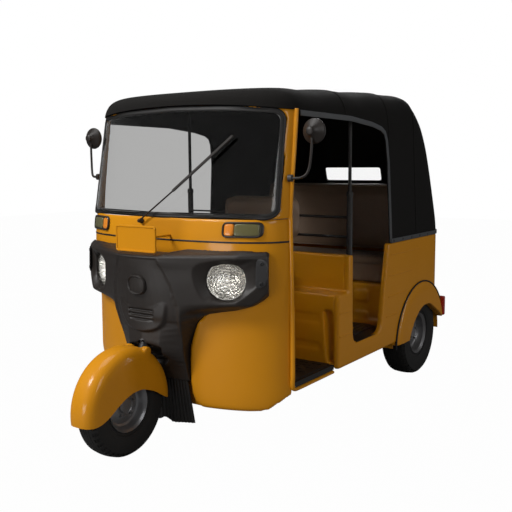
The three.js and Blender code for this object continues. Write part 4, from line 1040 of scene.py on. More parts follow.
def within_nose(v, point, inset):
    """Whether a point lies deeper than inset inside a nose section."""
    x, y = abs(point.x) * 1000, (point.y - STATION) * 1000
    if y >= v["centre"]:
        return x < v["half"] - inset
    return ((x / (v["half"] - inset)) ** v["power"]
            + ((v["centre"] - y) / (v["depth"] - inset)) ** v["power"]) < 1


def deep_in_screen(face):
    middle = face.calc_center_median()
    return within_nose(screen_values(middle.z * 1000), middle, 20)


print("screen outline", len(screen_outline(0)), "points")

# %% Windscreen frame
levels = [*range(1066, 1600, 22), 1604]
screen = to_object(skin_rings([screen_ring(z) for z in levels]), "screen")
cut(screen, extruded(header_line(0) + [(700, 1800), (-700, 1800)], "y", 100, 700))
cut(screen, extruded(screen_outline(17), "y", 150, 800))
soften(screen, 0.0065, 4)
bisect(screen, at(0, 501, 1066), (0, 1, -0.1273))
bisect(screen, at(0, 0, 1068), (0, 0, -1))
drop_faces(screen, deep_in_screen)
thicken(screen, 0.005)
piece(screen, "windscreen_surround", "body", "yellow_paint", "windscreen_frame", angle=50)

# %% Seal and glass
seal_line = screen_outline(12)
SEAL_SECTION = [(-13.5, -6), (13.5, -6), (13.5, -1), (11, 2.5), (7, 4), (4, 2.2), (1, 2.2),
                (-3, 4.6), (-8, 4.4), (-12, 2.5), (-13.5, -1)]
seal = swept([screen_point(x, z) for x, z in seal_line], SEAL_SECTION, closed=True,
             up=[normal_of(screen_point, x, z, 2) for x, z in seal_line])
piece(seal, "windscreen_rubber", "body", "rubber", "windscreen_seal", angle=40)

glass = to_object(skin_rings([screen_ring(z, grow=-1) for z in levels]), "glass")
cut(glass, skin_rings([screen_ring(z, grow=-5.5, reach=60) for z in [1050, *levels[1:], 1620]]))
cut(glass, extruded(screen_outline(3), "y", 150, 499), "INTERSECT")
piece(glass, "windscreen_pane", "body", "screen_glass", "windscreen_glass", angle=40)

# %% [markdown]
# ## Canvas hood
#
# The hood is one sheet of coated canvas stretched over bows. Its sections are flat-sided below
# and come in over the roof. Between the bows the canvas sinks a little. It is tight wherever it
# is seen, so it is skinned through its sections, and no cloth solver is needed.

# %% Hood sections
WAIST = 868
HOOD = {
    "z": [WAIST, 960, 1120, 1280, 1400, 1500, 1556, 1594, 1624, 1644, 1655, 1662, 1667],
    "half": [632, 628, 620, 612, 607, 602, 593, 578, 554, 516, 460, 360, 200],
    "front": [300, 300, 300, 330, 355, 372, 378, 382, 393, 418, 465, 570, 770],
    "rear": [0, 8, 48, 94, 142, 208, 272, 326, 384, 450, 560, 710, 940],
    "slope": [0, 0, 0, 0, 0.05, 0.2, 0.5, 0.75, 0.95, 1, 1, 1, 1],
}
HOOD_STEPS = {key: list(enumerate(values)) for key, values in HOOD.items()}
HOOD_DEPTH, HOOD_CORNER = 236, 212
BODY_HALF, BODY_REAR = 632, 2336
BOWS = [590, 1010, 1430, 1850, 2230]
ROOF_RISE, SAG = 0.045, 7
print("hood sections", len(HOOD["z"]))


def hood_height(v, y):
    """The height of a section at y: towards the roof the sections tilt."""
    return v["z"] + v["slope"] * ROOF_RISE * (y - 500)


def corner_arc(half, rear, radius, steps):
    """The points of the right rear corner of a plan."""
    angles = [math.pi * k / (2 * steps) for k in range(steps + 1)]
    return [(half - radius + radius * math.cos(a), rear - radius + radius * math.sin(a))
            for a in angles]


def hood_plan(v, inset):
    half, front = v["half"] - inset, v["front"] + inset
    rear = BODY_REAR - v["rear"] - inset
    nose = []
    for i in range(41):
        angle = math.pi * i / 40
        nose.append((-half * rounded_cos(angle, NOSE_POWER),
                     front + HOOD_DEPTH * (1 - math.sin(angle) ** (2 / NOSE_POWER))))
    side = [(half, lerp(front + HOOD_DEPTH, rear - HOOD_CORNER, k / 24)) for k in range(1, 24)]
    right = side + corner_arc(half, rear, HOOD_CORNER, 10)
    back = [((half - HOOD_CORNER) * (1 - k / 6), rear) for k in range(1, 6)]
    return nose + right + back + [(-x, y) for x, y in reversed(right + back[:2])]


def hood_ring(step, inset=0.0):
    v = values_at(HOOD_STEPS, step)
    points = []
    for x, y in hood_plan(v, inset):
        z = hood_height(v, y)
        if v["z"] > 1500:
            for low, high in zip(BOWS, BOWS[1:]):
                if low < y < high:
                    t = (y - low) / (high - low)
                    z -= SAG * math.sin(math.pi * t) ** 2 * min(1, (v["z"] - 1500) / 100)
        points.append(at(x, y, z))
    return points


# %% Hood cut to shape
HOOD_SIDE = [(200, 1530), (571, 1530), (1051, 1526), (1290, 1506), (1396, 1487), (1436, 1466),
             (1457, 1425), (1474, 1301), (1476, WAIST)]
WINDOW = oblong(-215, 215, 1188, 1290, 25)


def copy_of(obj):
    twin = obj.copy()
    twin.data = obj.data.copy()
    bpy.context.scene.collection.objects.link(twin)
    return twin


def not_canvas(face):
    """Picks the faces that a cut has made, and the hood's flat underside."""
    return (face.material_index == 1
            or face.calc_center_median().z < (WAIST + 0.5) / 1000 and face.normal.z < -0.9)


hood = to_object(skin_rings([hood_ring(k / 4) for k in range(49)]), "hood")
cut(hood, extruded([(200, 760), *HOOD_SIDE, (1476, 760)], "x", -800, 800))
cut(hood, extruded(header_line(1) + [(700, 700), (-700, 700)], "y", 100, 572))
pane = copy_of(hood)
cut(hood, extruded(WINDOW, "y", 1936, 2436))
drop_faces(hood, not_canvas)
thicken(hood, 0.006, even=False)
piece(hood, "canvas_hood", "body", "canvas", "hood", angle=50)

# %% Rear window
cut(pane, extruded(WINDOW, "y", 1936, 2436), "INTERSECT")
drop_faces(pane, not_canvas)
thicken(pane, 0.003, even=False)
piece(pane, "rear_window_pane", "body", "screen_glass", "rear_window", angle=50,
      look="clear_sheet")

# %% [markdown]
# ## Body sides
#
# The side panels wrap round the rear corners. Each could be modelled alone, but their seams meet
# exactly when they come from one shell. The solid is cut for the doors, the step and the wheel
# arches, then softened; only its skin is kept, with a flange 24 mm deep at each edge.

# %% Body plan
DOOR = rounded_outline([(1041, 1000), (1047, 382), (1374, 382), (1411, 600), (1474, 928),
                        (1476, 1000)], 62, steps=8)
DOORSTEP = [(800, 660), (990, 660), (990, 848), (1060, 848), (1060, 900), (800, 900)]
FENDER = {"y": 1945, "z": 240, "reach_y": 368, "reach_z": 352}
FLANGE = 24
REAR_SEAM = 412
print("body", 2 * BODY_HALF, "mm wide")


def body_plan(grow, front_y):
    half, rear = BODY_HALF + grow, BODY_REAR + grow
    return both_sides([(half, front_y), *corner_arc(half, rear, HOOD_CORNER + grow, 16)])


def arch_outline(inset, floor_z, steps=40):
    reach_y, reach_z = FENDER["reach_y"] - inset, FENDER["reach_z"] - inset
    curve = [(FENDER["y"] + reach_y * math.cos(math.pi * k / steps),
              FENDER["z"] + reach_z * math.sin(math.pi * k / steps)) for k in range(steps + 1)]
    return [(curve[0][0], floor_z)] + curve + [(curve[-1][0], floor_z)]


def depth_in_body(point):
    """How far a point lies inside the body's plan, in millimetres."""
    x, y = abs(point.x) * 1000, (point.y - STATION) * 1000
    cx, cy = BODY_HALF - HOOD_CORNER, BODY_REAR - HOOD_CORNER
    if x > cx and y > cy:
        return HOOD_CORNER - math.hypot(x - cx, y - cy)
    return min(BODY_HALF - x, BODY_REAR - y)


# %% Body shell
shell = to_object(extruded(body_plan(0, 860), "z", 281, WAIST), "shell")
for outline in (DOOR, DOORSTEP, arch_outline(14, 150)):
    cut(shell, extruded(outline, "x", -800, 800))
cut(shell, extruded(oblong(-331, 331, 419, 812, 20), "y", 2036, 2436))
cut(shell, extruded(rectangle(-700, 700, 800, 885), "z", 200, 900))
soften(shell, 0.009, 4)
drop_faces(shell, lambda f: depth_in_body(f.calc_center_median()) > FLANGE
           or f.calc_center_median().z > (WAIST - 2) / 1000 and f.normal.z > 0.9)
thicken(shell, 0.005)
print("shell", len(shell.data.polygons), "faces")

# %% Rear panel and side panels
rear = copy_of(shell)
bisect(rear, at(REAR_SEAM - 0.5, 0, 0), (1, 0, 0))
bisect(rear, at(0.5 - REAR_SEAM, 0, 0), (-1, 0, 0))
bisect(rear, at(0, 1900, 0), (0, -1, 0))
piece(rear, "rear_panel_skin", "body", "yellow_paint", "rear_panel", angle=50)
for s, word in SIDES:
    panel = copy_of(shell)
    bisect(panel, at(s * (REAR_SEAM + 0.5), 0, 0), (-s, 0, 0))
    piece(panel, f"side_panel_skin_{word}", "body", "yellow_paint", f"side_panel_{word}",
          angle=50)
bpy.data.objects.remove(shell)

# %% [markdown]
# ## Rear fenders
#
# Each fender is a low swelling laid over the body side, with its own wheel opening and a
# black bead along the joint. It is skinned through arches that stand out one after the other, as
# a press draws the sheet, and then the opening is cut. A thin liner closes the wheel house.


# %% Fender outlines
def joined(*parts):
    """One bmesh from several."""
    whole = bmesh.new()
    for bm in parts:
        mesh = bpy.data.meshes.new("part")
        bm.to_mesh(mesh)
        bm.free()
        whole.from_mesh(mesh)
        bpy.data.meshes.remove(mesh)
    return whole


OPENING = rounded_outline([(2000 + y, z) for y, z in (
    (-262, 100), (-256, 258), (-244, 290), (-222, 322), (-190, 362), (-146, 400), (-90, 432),
    (-20, 446), (46, 443), (102, 418), (190, 372), (252, 335), (400, 247), (400, 100),
)], 30, steps=3)
SWELL = [(-60, -2), (0.5, 0), (4, 2), (8, 8), (12, 18), (15, 30), (17.4, 46), (18, 62)]
FENDER_FLOOR, FENDER_INNER = 262, 606
print("fenders stand out by", SWELL[-1][0], "mm")

# %% Fenders, wheel houses and beads
for s, word in SIDES:
    fender = to_object(skin_rings([[at(s * (BODY_HALF + proud), y, z)
                                    for y, z in arch_outline(inset, 140)]
                                   for proud, inset in SWELL]), "fender")
    for outline in (OPENING, rectangle(1500, 2500, 100, FENDER_FLOOR),
                    rectangle(2282, 2500, 100, 700)):
        cut(fender, extruded(outline, "x", -800, 800))
    soften(fender, 0.005, 4)
    bisect(fender, at(s * FENDER_INNER, 0, 0), (-s, 0, 0))
    thicken(fender, 0.004)
    arch = arch_outline(16, FENDER_FLOOR)[1:-1]
    liner = to_object(skin_rings([[at(s * x, y, z) for y, z in arch]
                                  for x in (430, 470, 520, 570, FENDER_INNER)], closed=False),
                      "liner")
    thicken(liner, 0.004)
    end = extruded(arch_outline(17, FENDER_FLOOR), "x", s * 430, s * 434)
    piece(joined(taken(fender), taken(liner), end), f"rear_fender_skin_{word}", "body",
          "yellow_paint", f"rear_fender_{word}", angle=50)
    bead = [at(s * (BODY_HALF + 4), y, z) for y, z in arch_outline(-1, 288, steps=48)]
    piece(swept([p for p in bead if p.y < 2.262 + STATION], circle(5), up=X),
          f"fender_bead_{word}", "body", "rubber", angle=60)

# %% [markdown]
# ## Wheels
#
# Tyres and rims are turned about the axle. A tread painted as bump would leave the tyre's outline
# smooth, so it is in the mesh: ribs stand between the grooves round the crown, and after the
# turning every other face of the shoulders is inset and pushed in.

# %% Tyre profile and tread
TREAD = (-0.52, -0.40, -0.36, -0.14, -0.10, 0.10, 0.14, 0.36, 0.40, 0.52)
GROOVE = 5


def tyre_profile(radius, half, bead):
    """(radius, offset) pairs from one bead over the tread to the other."""
    tread = []
    for k, x in enumerate(TREAD):
        crown = radius - 3 * (x / 0.52) ** 2
        if k in (1, 3, 5, 7):
            tread += [(crown, half * x), (crown - GROOVE, half * (x + 0.015))]
        elif k in (2, 4, 6, 8):
            tread += [(crown - GROOVE, half * (x - 0.015)), (crown, half * x)]
        else:
            tread.append((crown, half * x))
    side = [(bead, half * 0.70), (bead + 3, half * 0.76), (bead + 12, half * 0.80),
            (bead + 15, half * 0.87), (bead + 30, half * 0.95), (bead + 34, half * 0.975),
            ((bead + radius) / 2 + 6, half), (radius - 28, half * 0.985),
            (radius - 24, half * 0.99), (radius - 10, half * 0.83), (radius - 4, half * 0.66)]
    left = [(r, -x) for r, x in side]
    return left + tread + side[::-1] + [(bead - 1, 0)]


def make_tyre(radius, half, bead, centre, steps):
    """A tyre about x with blocks pressed into every other part of its shoulders."""
    bm = turned(tyre_profile(radius, half, bead), centre, X, steps)
    blocks = []
    for face in bm.faces:
        c = face.calc_center_median()
        off = abs(c.x - centre.x) * 1000
        r = math.hypot(c.y - centre.y, c.z - centre.z) * 1000
        turn = math.atan2(c.z - centre.z, c.y - centre.y) / (2 * math.pi) * steps
        if radius - 25 < r < radius + 2 and half * 0.6 < off < half and int(turn + 0.01) % 2:
            blocks.append(face)
    bmesh.ops.inset_individual(bm, faces=blocks, thickness=0.0012, depth=-0.0035)
    return bm


# %% Tyres
FRONT_HUB = at(0, 0, 233)
REAR_HUB = {s: at(s * 530, 2000, 256) for s in (1, -1)}
piece(make_tyre(233, 57, 120, FRONT_HUB, 88), "tyre_front", "front_wheel", "tyre",
      "front_tyre", angle=30)
for s, word in SIDES:
    piece(make_tyre(256, 75, 128, REAR_HUB[s], 96), f"tyre_rear_{word}",
          f"rear_wheel_{word}", "tyre", f"rear_tyre_{word}", angle=30)


# %% Rims
def rim_profile(half, bead, s):
    edge, rim_r = half * 0.8, bead - 1.5
    well = rim_r - 15
    face = [(0, -35), (34, -35), (34, -8), (60, -6), (well - 12, -4), (well - 4, -10),
            (well, -16), (well, -edge + 12), (well + 8, -edge + 5), (rim_r - 2, -edge),
            (rim_r, -edge - 2), (rim_r + 1, -edge), (rim_r, -edge + 4), (rim_r, 0),
            (rim_r, edge - 4), (rim_r + 1, edge), (rim_r, edge + 2), (rim_r - 2, edge),
            (well + 9, edge - 4), (well + 2, edge - 10), (well - 1, 24), (well - 8, 12),
            (well - 18, 8), (well - 26, 11), (62, 20), (48, 22), (44, 18), (36, 19), (35, 26),
            (31, 30), (0, 31)]
    return [(r, s * x) for r, x in face]


def make_rim(half, bead, centre, s):
    """A pressed rim with its hub cap and five nuts on studs."""
    parts = [turned(rim_profile(half, bead, s), centre, X, 72)]
    for k in range(5):
        a = 2 * math.pi * (k + 0.25) / 5
        out = Vector((0, math.cos(a), math.sin(a))) * 0.052
        for low, high, radius, sides in ((0.018, 0.029, 0.0075, 6), (0.025, 0.034, 0.004, 10)):
            parts.append(barrel(centre + X * s * low + out, centre + X * s * high + out, radius,
                                sides=sides))
    return joined(*parts)


piece(make_rim(57, 120, FRONT_HUB, 1), "rim_front", "front_wheel", "wheel_silver",
      "front_rim", angle=35)
for s, word in SIDES:
    piece(make_rim(75, 128, REAR_HUB[s], s), f"rim_rear_{word}", f"rear_wheel_{word}",
          "wheel_silver", f"rear_rim_{word}", angle=35)

# %% [markdown]
# ## Front mudguard
#
# The mudguard is a deep pressing over the front wheel. Turning it about the axle keeps it at one
# distance from the tyre. It is softened, cut to its side outline and opened below, so that only
# the skin stays, and the column and the crown get their room.

# %% Mudguard
GUARD_SIDE = [
    (-290, 205), (-240, 200), (-186, 211), (-138, 233), (-100, 259), (-50, 285), (0, 301),
    (60, 303), (139, 273), (215, 225), (244, 214), (300, 240), (300, 560), (-290, 560),
]
CROWN_SLOT = [(108, 445), (171, 400), (171, 428), (109, 468)]
guard_profile = [(0, -78), (140, -78), (190, -77.5), (215, -76), (230, -72), (243, -65),
                 (253, -56), (260, -46), (265, -34), (267.4, -20), (268, 0)]
guard_profile += [(r, -x) for r, x in reversed(guard_profile[:-1])]
guard = to_object(turned(guard_profile, FRONT_HUB, X, 96), "guard")
for s in (1, -1):
    cut(guard, barrel(at(s * 34, 112, 462), at(s * 68, 112, 462), 0.0235, sides=32), "UNION")
soften(guard, 0.005, 5, keep=0.6)
cut(guard, extruded(rounded_outline(GUARD_SIDE, 24, steps=3), "x", -120, 120), "INTERSECT")
drop_faces(guard, lambda f: f.material_index == 1)
thicken(guard, 0.0038)
cut(guard, extruded(CROWN_SLOT, "x", -130, -26))
cut(guard, barrel(STEER_FOOT + STEER_AXIS * 0.15, STEER_FOOT + STEER_AXIS * 0.4, 0.0254))
keep_largest(guard)
piece(guard, "mudguard_skin", "steering", "yellow_paint", "front_mudguard", angle=50)

# %% [markdown]
# ## Trim on the front
#
# Small parts give the nose its scale: a rolled edge that runs from the sill up to the hood, a
# black pinstripe, two-part indicators in black rims, a blank number plate, a plain oval boss
# and the screws of the fairing's outer strips. Flat parts pushed into the nose would sink at one
# end and stand off at the other, so each is skinned from points of the surface it sits on.


# %% Rolled edge of the doorway
def cowl_point(x, z, out=0.0):
    return nose_point(cowl_values(z), x, z, out)


def flipped(bm):
    """The mirror copy of a bmesh, left for right."""
    copy = bm.copy()
    for v in copy.verts:
        v.co.x = -v.co.x
    bmesh.ops.reverse_faces(copy, faces=copy.faces)
    return copy


edge_line = [at(598, 884, 268), at(598, 700, 268), at(598, 560, 268), at(600, 512, 274),
             at(602, 496, 296)]
edge_line += [at(cowl_values(z)["half"] - 6, 492, z) for z in range(340, 1066, 60)]
edge_line += [at(592, 493, 1075)]
edge_line += [at(screen_values(z)["half"] - 7, screen_values(z)["trail"] - 9, z)
              for z in range(1130, 1560, 60)]
edge_line += [at(587, 553, 1548)]
roll = swept(smooth_path(edge_line, 5), ellipse(9, 12, 14), up=X)
piece(joined(flipped(roll), roll), "door_edge_roll", "body", "yellow_paint", angle=60)

# %% Pinstripe
STRIPE_Z = 963
stripe_x = [point.x * 1000 for point in cowl_ring(STRIPE_Z)[:-2] if abs(point.x * 1000) < 596]
stripe = swept([cowl_point(x, STRIPE_Z) for x in stripe_x],
               [(-4, -1), (4, -1), (4, 0.8), (2.5, 1.5), (-2.5, 1.5), (-4, 0.8)],
               up=[normal_of(cowl_point, x, STRIPE_Z, 4) for x in stripe_x])
piece(stripe, "pinstripe", "body", "rubber", angle=40)


# %% Indicators
def stepped(outlines, surface):
    """A form skinned through outlines, each at its own height over a surface."""
    return skin_rings([[surface(x, z, out) for x, z in outline] for outline, out in outlines])


def on_cowl(s, x0, x1, z0, z1, radius, steps):
    """An oblong form on side s of the cowl that goes in and out through (inset, out) steps."""
    low, high = sorted((s * x0, s * x1))
    return stepped([(oblong(low + d, high - d, z0 + d, z1 - d, max(2, radius - d), 5), out)
                    for d, out in steps], cowl_point)


LENS_STEPS = [(0, -3), (0, 6), (1.5, 8.5), (5, 10), (12, 10.6)]
RIM_STEPS = [(0, -3), (0, 9), (1.5, 11.5), (4, 12.5), (6.5, 11.5), (8, 9), (8.5, 5)]
for s, word in SIDES:
    piece(on_cowl(s, 354, 524, 985, 1055, 26, RIM_STEPS), f"indicator_rim_{word}", "body",
          "black_plastic", angle=40)
    piece(on_cowl(s, 363, 406, 993, 1047, 14, LENS_STEPS), f"indicator_amber_{word}", "body",
          "amber_lens", f"front_indicator_{word}", angle=40)
    piece(on_cowl(s, 408, 515, 993, 1047, 14, LENS_STEPS), f"indicator_clear_{word}", "body",
          "lamp_glass", angle=40, look="smoked_lens")

# %% Number plate
plate = extruded(oblong(-122, 122, 917, 1038, 14, 5), "y", 116, 122)
bmesh.ops.recalc_face_normals(plate, faces=plate.faces)
face = min(plate.faces, key=lambda f: f.calc_center_median().y)
for width, depth in ((0.0015, 0.002), (0.006, 0), (0.002, -0.0035)):
    bmesh.ops.inset_region(plate, faces=[face], thickness=width, depth=depth,
                           use_even_offset=True)
stays = [barrel(at(s * 70, 121, 985), at(s * 70, 272, 985), 0.006, sides=12) for s in (1, -1)]
piece(joined(plate, *stays), "number_plate", "body", "yellow_paint", "front_plate", angle=35)


# %% Oval boss
def oval(inset, steps=48):
    half, rise = 52 - inset, 45 - inset
    return [(math.copysign(half * abs(math.cos(a)) ** 0.82, math.cos(a)),
             766 + math.copysign(rise * abs(math.sin(a)) ** 0.82, math.sin(a)))
            for a in (2 * math.pi * k / steps for k in range(steps))]


BOSS_STEPS = [(-2, -3), (0, 4), (1.5, 7.5), (4, 8.5), (7, 7), (9, 3), (22, 4.5), (36, 5)]
piece(stepped([(oval(d), out) for d, out in BOSS_STEPS], fairing_point), "oval_boss", "body",
      "black_plastic", angle=40)

# %% Strips and screws at the fairing's ends
STRIP = [(528, 762), (552, 776), (557, 800), (557, 866), (548, 892), (526, 896), (520, 880),
         (520, 776)]
STRIP_STEPS = [(1, -3), (1, 3.5), (0.97, 5.5), (0.9, 6), (0.6, 6), (0.3, 6)]
STRIP_SCREW = [(0, 0), (8.5, 0), (8.5, 2), (7.5, 3.2), (5, 3.6), (4.4, 1.4), (0, 1.2)]
for s, word in SIDES:
    outline = rounded_outline([(s * x, z) for x, z in STRIP][::s], 12, steps=4)
    screws = [turned(STRIP_SCREW, fairing_point(s * 540, z, 4), Vector((s * 0.65, -0.76, 0)), 24)
              for z in (784, 874)]
    piece(patch(outline, fairing_point, STRIP_STEPS), f"fairing_strip_{word}", "body",
          "black_plastic", angle=35, look="strip_plastic")
    piece(joined(*screws), f"fairing_screws_{word}", "body", "rubber", angle=35,
          look="screw_black")

# %% [markdown]
# ## Mirrors, wiper, mud flap and hose
#
# The mirrors are turned shells on bent tubes, bolted to the windscreen pillars. The wiper's arm
# and blade are swept. The flap is ribbed rubber, wider below, and the hose is a bellows whose
# rings are wide and narrow by turns.

# %% Mirrors
MIRROR_HEAD = [(0, -42), (14, -42), (17, -40), (19, -34), (26, -26), (40, -11), (53, -3),
               (56, 1), (56.5, 7), (55, 11), (51, 12.5), (0, 12.5)]
MIRROR_TUBE = [(600, 477, 1247), (625, 482, 1247), (650, 489, 1249), (670, 500, 1262),
               (681, 508, 1290), (686, 512, 1330), (690, 515, 1390), (690, 516, 1436)]
for s, word in SIDES:
    head = turned(MIRROR_HEAD, at(s * 690, 533, 1453), Y, 48)
    tube = smooth_path([at(s * x, y, z) for x, y, z in MIRROR_TUBE], 4)
    foot = swept([at(s * 592, 476, 1247), at(s * 612, 479, 1247)], ellipse(11, 16, 16))
    bolts = [barrel(at(s * 606, 479, z), at(s * 616, 480, z), 0.005, sides=6)
             for z in (1236, 1258)]
    piece(joined(head, swept(tube, circle(6), up=Y), foot, *bolts), f"mirror_assembly_{word}",
          "body", "black_plastic", f"mirror_{word}", angle=35)

# %% Wiper
pivot, elbow, tip = at(-112, 262, 1045), at(92, 276, 1190), at(370, 368, 1436)
arm = swept([pivot, lerp(pivot, elbow, 0.5), elbow, lerp(elbow, tip, 0.3)],
            ellipse(5.5, 3.5, 10))
blade = swept([lerp(elbow, tip, t) for t in (0.0, 0.25, 0.5, 0.75, 1.0)],
              [(-5, -7), (5, -7), (6, 3), (2, 5), (1, 9), (-1, 9), (-2, 5), (-6, 3)],
              up=Vector((0, 1, 0.13)))
boss = turned([(0, 0), (13, 0), (13, 6), (10, 10), (9, 20), (7, 25), (0, 26)],
              at(-112, 282, 1045), Vector((0, -1, 0)), 32)
piece(joined(arm, blade, boss), "wiper_assembly", "body", "black_plastic", "wiper", angle=35)

# %% Mud flap
FLAP_TOP, FLAP_COLUMNS = 308, 68
FLAP_BOTTOM = [(0, 92), (12, 88), (42, 73), (110, 82), (180, 92)]
flap_rings = []
for k in range(9):
    down = k / 8
    half = lerp(152, 179, down)
    front, behind = [], []
    for i in range(FLAP_COLUMNS + 1):
        x = lerp(-half, half, i / FLAP_COLUMNS)
        z = lerp(FLAP_TOP, curve_value(FLAP_BOTTOM, abs(x)), down)
        y = 284 + (306 - z) * 0.08
        rib = 3.4 if i % 4 in (1, 2) else 0
        front.append(at(x, y - rib, z))
        behind.append(at(x, y + 4, z))
    flap_rings.append(front + behind[::-1])
piece(skin_rings(flap_rings), "mud_flap", "body", "rubber", "front_mudflap", angle=25)

# %% Bellows hose beside the neck
hose_line = smooth_path([at(-168, 236, 470), at(-176, 232, 505), at(-182, 230, 545),
                         at(-176, 238, 585)], 10)
rings = []
for i, p in enumerate(hose_line):
    r = 0.0125 if i % 2 else 0.0095
    rings.append([p + Vector((x, y, 0)) for x, y in circle(r, 16)])
piece(skin_rings(rings), "bellows_hose", "body", "rubber", angle=25)

# %% [markdown]
# ## Inside: box, bench base, bars and mats
#
# The driver's box and the bench base are deep mouldings with shallow panels pressed in them,
# so both are softened solids. The bars are turned and swept, and the mats carry raised ribs.

# %% Driver box
BOX = [(886, 287), (1041, 287), (1041, 848), (990, 848), (990, 660), (886, 660)]
HAND_SLOT = [(566, 310), (612, 310), (594, 580), (542, 580)]
box = to_object(extruded(BOX, "x", -606, 606), "box")
cut(box, extruded(rectangle(-330, 330, 640, 900), "z", 306.5, 659.5), "UNION")
for s in (1, -1):
    slot = rounded_outline([(s * x, z) for x, z in HAND_SLOT][::s], 18)
    cut(box, extruded(slot, "y", 800, 922))
    for low, high in ((507, 560), (371, 413)):
        cut(box, extruded(oblong(*sorted((s * 365, s * 525)), low, high, 8, 5), "y", 800, 891))
soften(box, 0.006, 3, keep=0.45)
piece(box, "driver_box_moulding", "body", "yellow_paint", "driver_box", angle=50)

# %% Bench base
BENCH = [(1500, 383), (1528, 387), (1548, 400), (1558, 420), (1560, 440), (1560, 616),
         (2050, 616), (2050, 820), (2058, 820), (2058, 606), (1568, 606), (1568, 383)]
bench = to_object(extruded(BENCH, "x", -618, 618), "bench")
for s in (1, -1):
    for x in (118, 268, 418):
        for z in (420, 542):
            pad = oblong(s * x - 43, s * x + 43, z - 29, z + 30, 12, 5)
            cut(bench, extruded(pad, "y", 1551, 1566), "UNION")
soften(bench, 0.006, 3, keep=0.45)
piece(bench, "bench_base_moulding", "body", "yellow_paint", "passenger_seat_base", angle=50)

# %% Partition bars
POST = [(0, 0), (30, 0), (30, 4), (27, 6), (19, 8), (16, 14), (16, 755), (18, 757), (18, 774),
        (15, 779), (9, 784), (9, 1255), (0, 1255)]
PARTITION_Y = 1170
parts = [turned(POST, at(s * 539, PARTITION_Y, 383), UP, 32) for s in (1, -1)]
for z in (923, 1027):
    parts.append(barrel(at(-539, PARTITION_Y, z), at(539, PARTITION_Y, z), 0.0075, sides=20))
    parts += [barrel(at(s * 512, PARTITION_Y, z), at(s * 530, PARTITION_Y, z), 0.0075, 0.012,
                     sides=20) for s in (1, -1)]
piece(joined(*parts), "partition_bars", "body", "dark_steel", "partition_frame", angle=40)


# %% Floor mats
def raised_bar(x0, x1, y0, y1, z0, z1, inset=1.5):
    """A low rib that is a little narrower on top."""
    low = rectangle(x0, x1, y0, y1)
    high = rectangle(x0 + inset, x1 - inset, y0 + inset, y1 - inset)
    return skin_rings([[at(x, y, z0) for x, y in low], [at(x, y, z1) for x, y in high]])


MAT = both_sides([(-586, 882), (-586, 505), (-525, 430), (-410, 350)])
mat = [extruded(rounded_outline(MAT, 20), "z", 306.2, 309)]
for row in range(11):
    y = 440 + row * 40
    for column in range(-7, 8):
        x = column * 76 + (38 if row % 2 else 0)
        if abs(x) < (548 if y > 500 else 470) and not (abs(x) < 370 and y > 620):
            mat.append(raised_bar(x - 26, x + 26, y - 5, y + 5, 308.5, 311.5))
piece(joined(*mat), "driver_floor_mat", "body", "rubber", angle=30)
ribs = [extruded(oblong(-540, 540, 1220, 1500, 20), "z", 382.2, 387.5)]
ribs += [raised_bar(x - 5, x + 5, 1235, 1485, 387, 390) for x in range(-510, 511, 34)]
piece(joined(*ribs), "cabin_floor_mat", "body", "rubber", angle=30)

# %% [markdown]
# ## Beads, bindings, rail and seams
#
# The side panels carry low pressed beads. The hood is bound in grey along the door, screwed to
# a grey rail round the body, and has welts where its widths of canvas are sewn together. All are
# swept a little above the finished surfaces, which is simpler than pressing them into those.

# %% Side beads
BEADS = [(566, 897, 1000), (447, 897, 1004), (802, 1490, 1900), (684, 1480, 1800),
         (566, 1468, 1700), (456, 1440, 1590)]
for s, word in SIDES:
    parts = []
    for z, low, high in BEADS:
        line = [at(s * (BODY_HALF - 0.5), lerp(low, high, t), z) for t in (0, 0.03, 0.5, 0.97, 1)]
        parts.append(swept(line, ellipse(5, 2.6, 12), up=X))
    piece(joined(*parts), f"side_beads_{word}", "body", "yellow_paint", angle=60)


# %% Points on the hood
def hood_at(step, y, out):
    """The point of a hood section, on its left side, at a distance y; None past its end."""
    ring = hood_ring(step, inset=-out)
    target = y / 1000 + STATION
    for a, b in zip(ring, ring[1:]):
        if a.x > 0 and b.x > 0 and a.y <= target <= b.y:
            return lerp(a, b, (target - a.y) / max(b.y - a.y, 1e-9))
    return None


def hood_step(z, y=1300):
    """The section whose surface passes z at y."""
    low, high = 0.0, 12.0
    for _ in range(24):
        middle = (low + high) / 2
        if hood_height(values_at(HOOD_STEPS, middle), y) < z:
            low = middle
        else:
            high = middle
    return low


def with_mirror(points):
    """3-D points from the left side, and then their mirror images on the right."""
    return points + [Vector((-p.x, p.y, p.z)) for p in reversed(points)]


# %% Door binding
flat_side = list(zip(HOOD["z"][:9], HOOD["half"][:9]))
corners = [Vector((0, y, z + (8 if z > WAIST else 4))) for y, z in HOOD_SIDE[:0:-1]]
path = []
for low, high in zip(corners, corners[1:]):
    count = max(1, int((high - low).length / 50))
    path += [low.lerp(high, k / count) for k in range(count)]
path.append(corners[-1])
path = [at(curve_value(flat_side, min(p.z, 1600)) + 1.5,
           p.y + min(12, max(0, (1560 - p.z) / 8)), p.z) for p in path]
binding = swept(path, [(-12, -2.5), (12, -2.5), (13, 0), (12, 2.2), (-12, 2.2), (-13, 0)], up=X)
piece(joined(flipped(binding), binding), "hood_door_binding", "body", "grey_flange", angle=50)

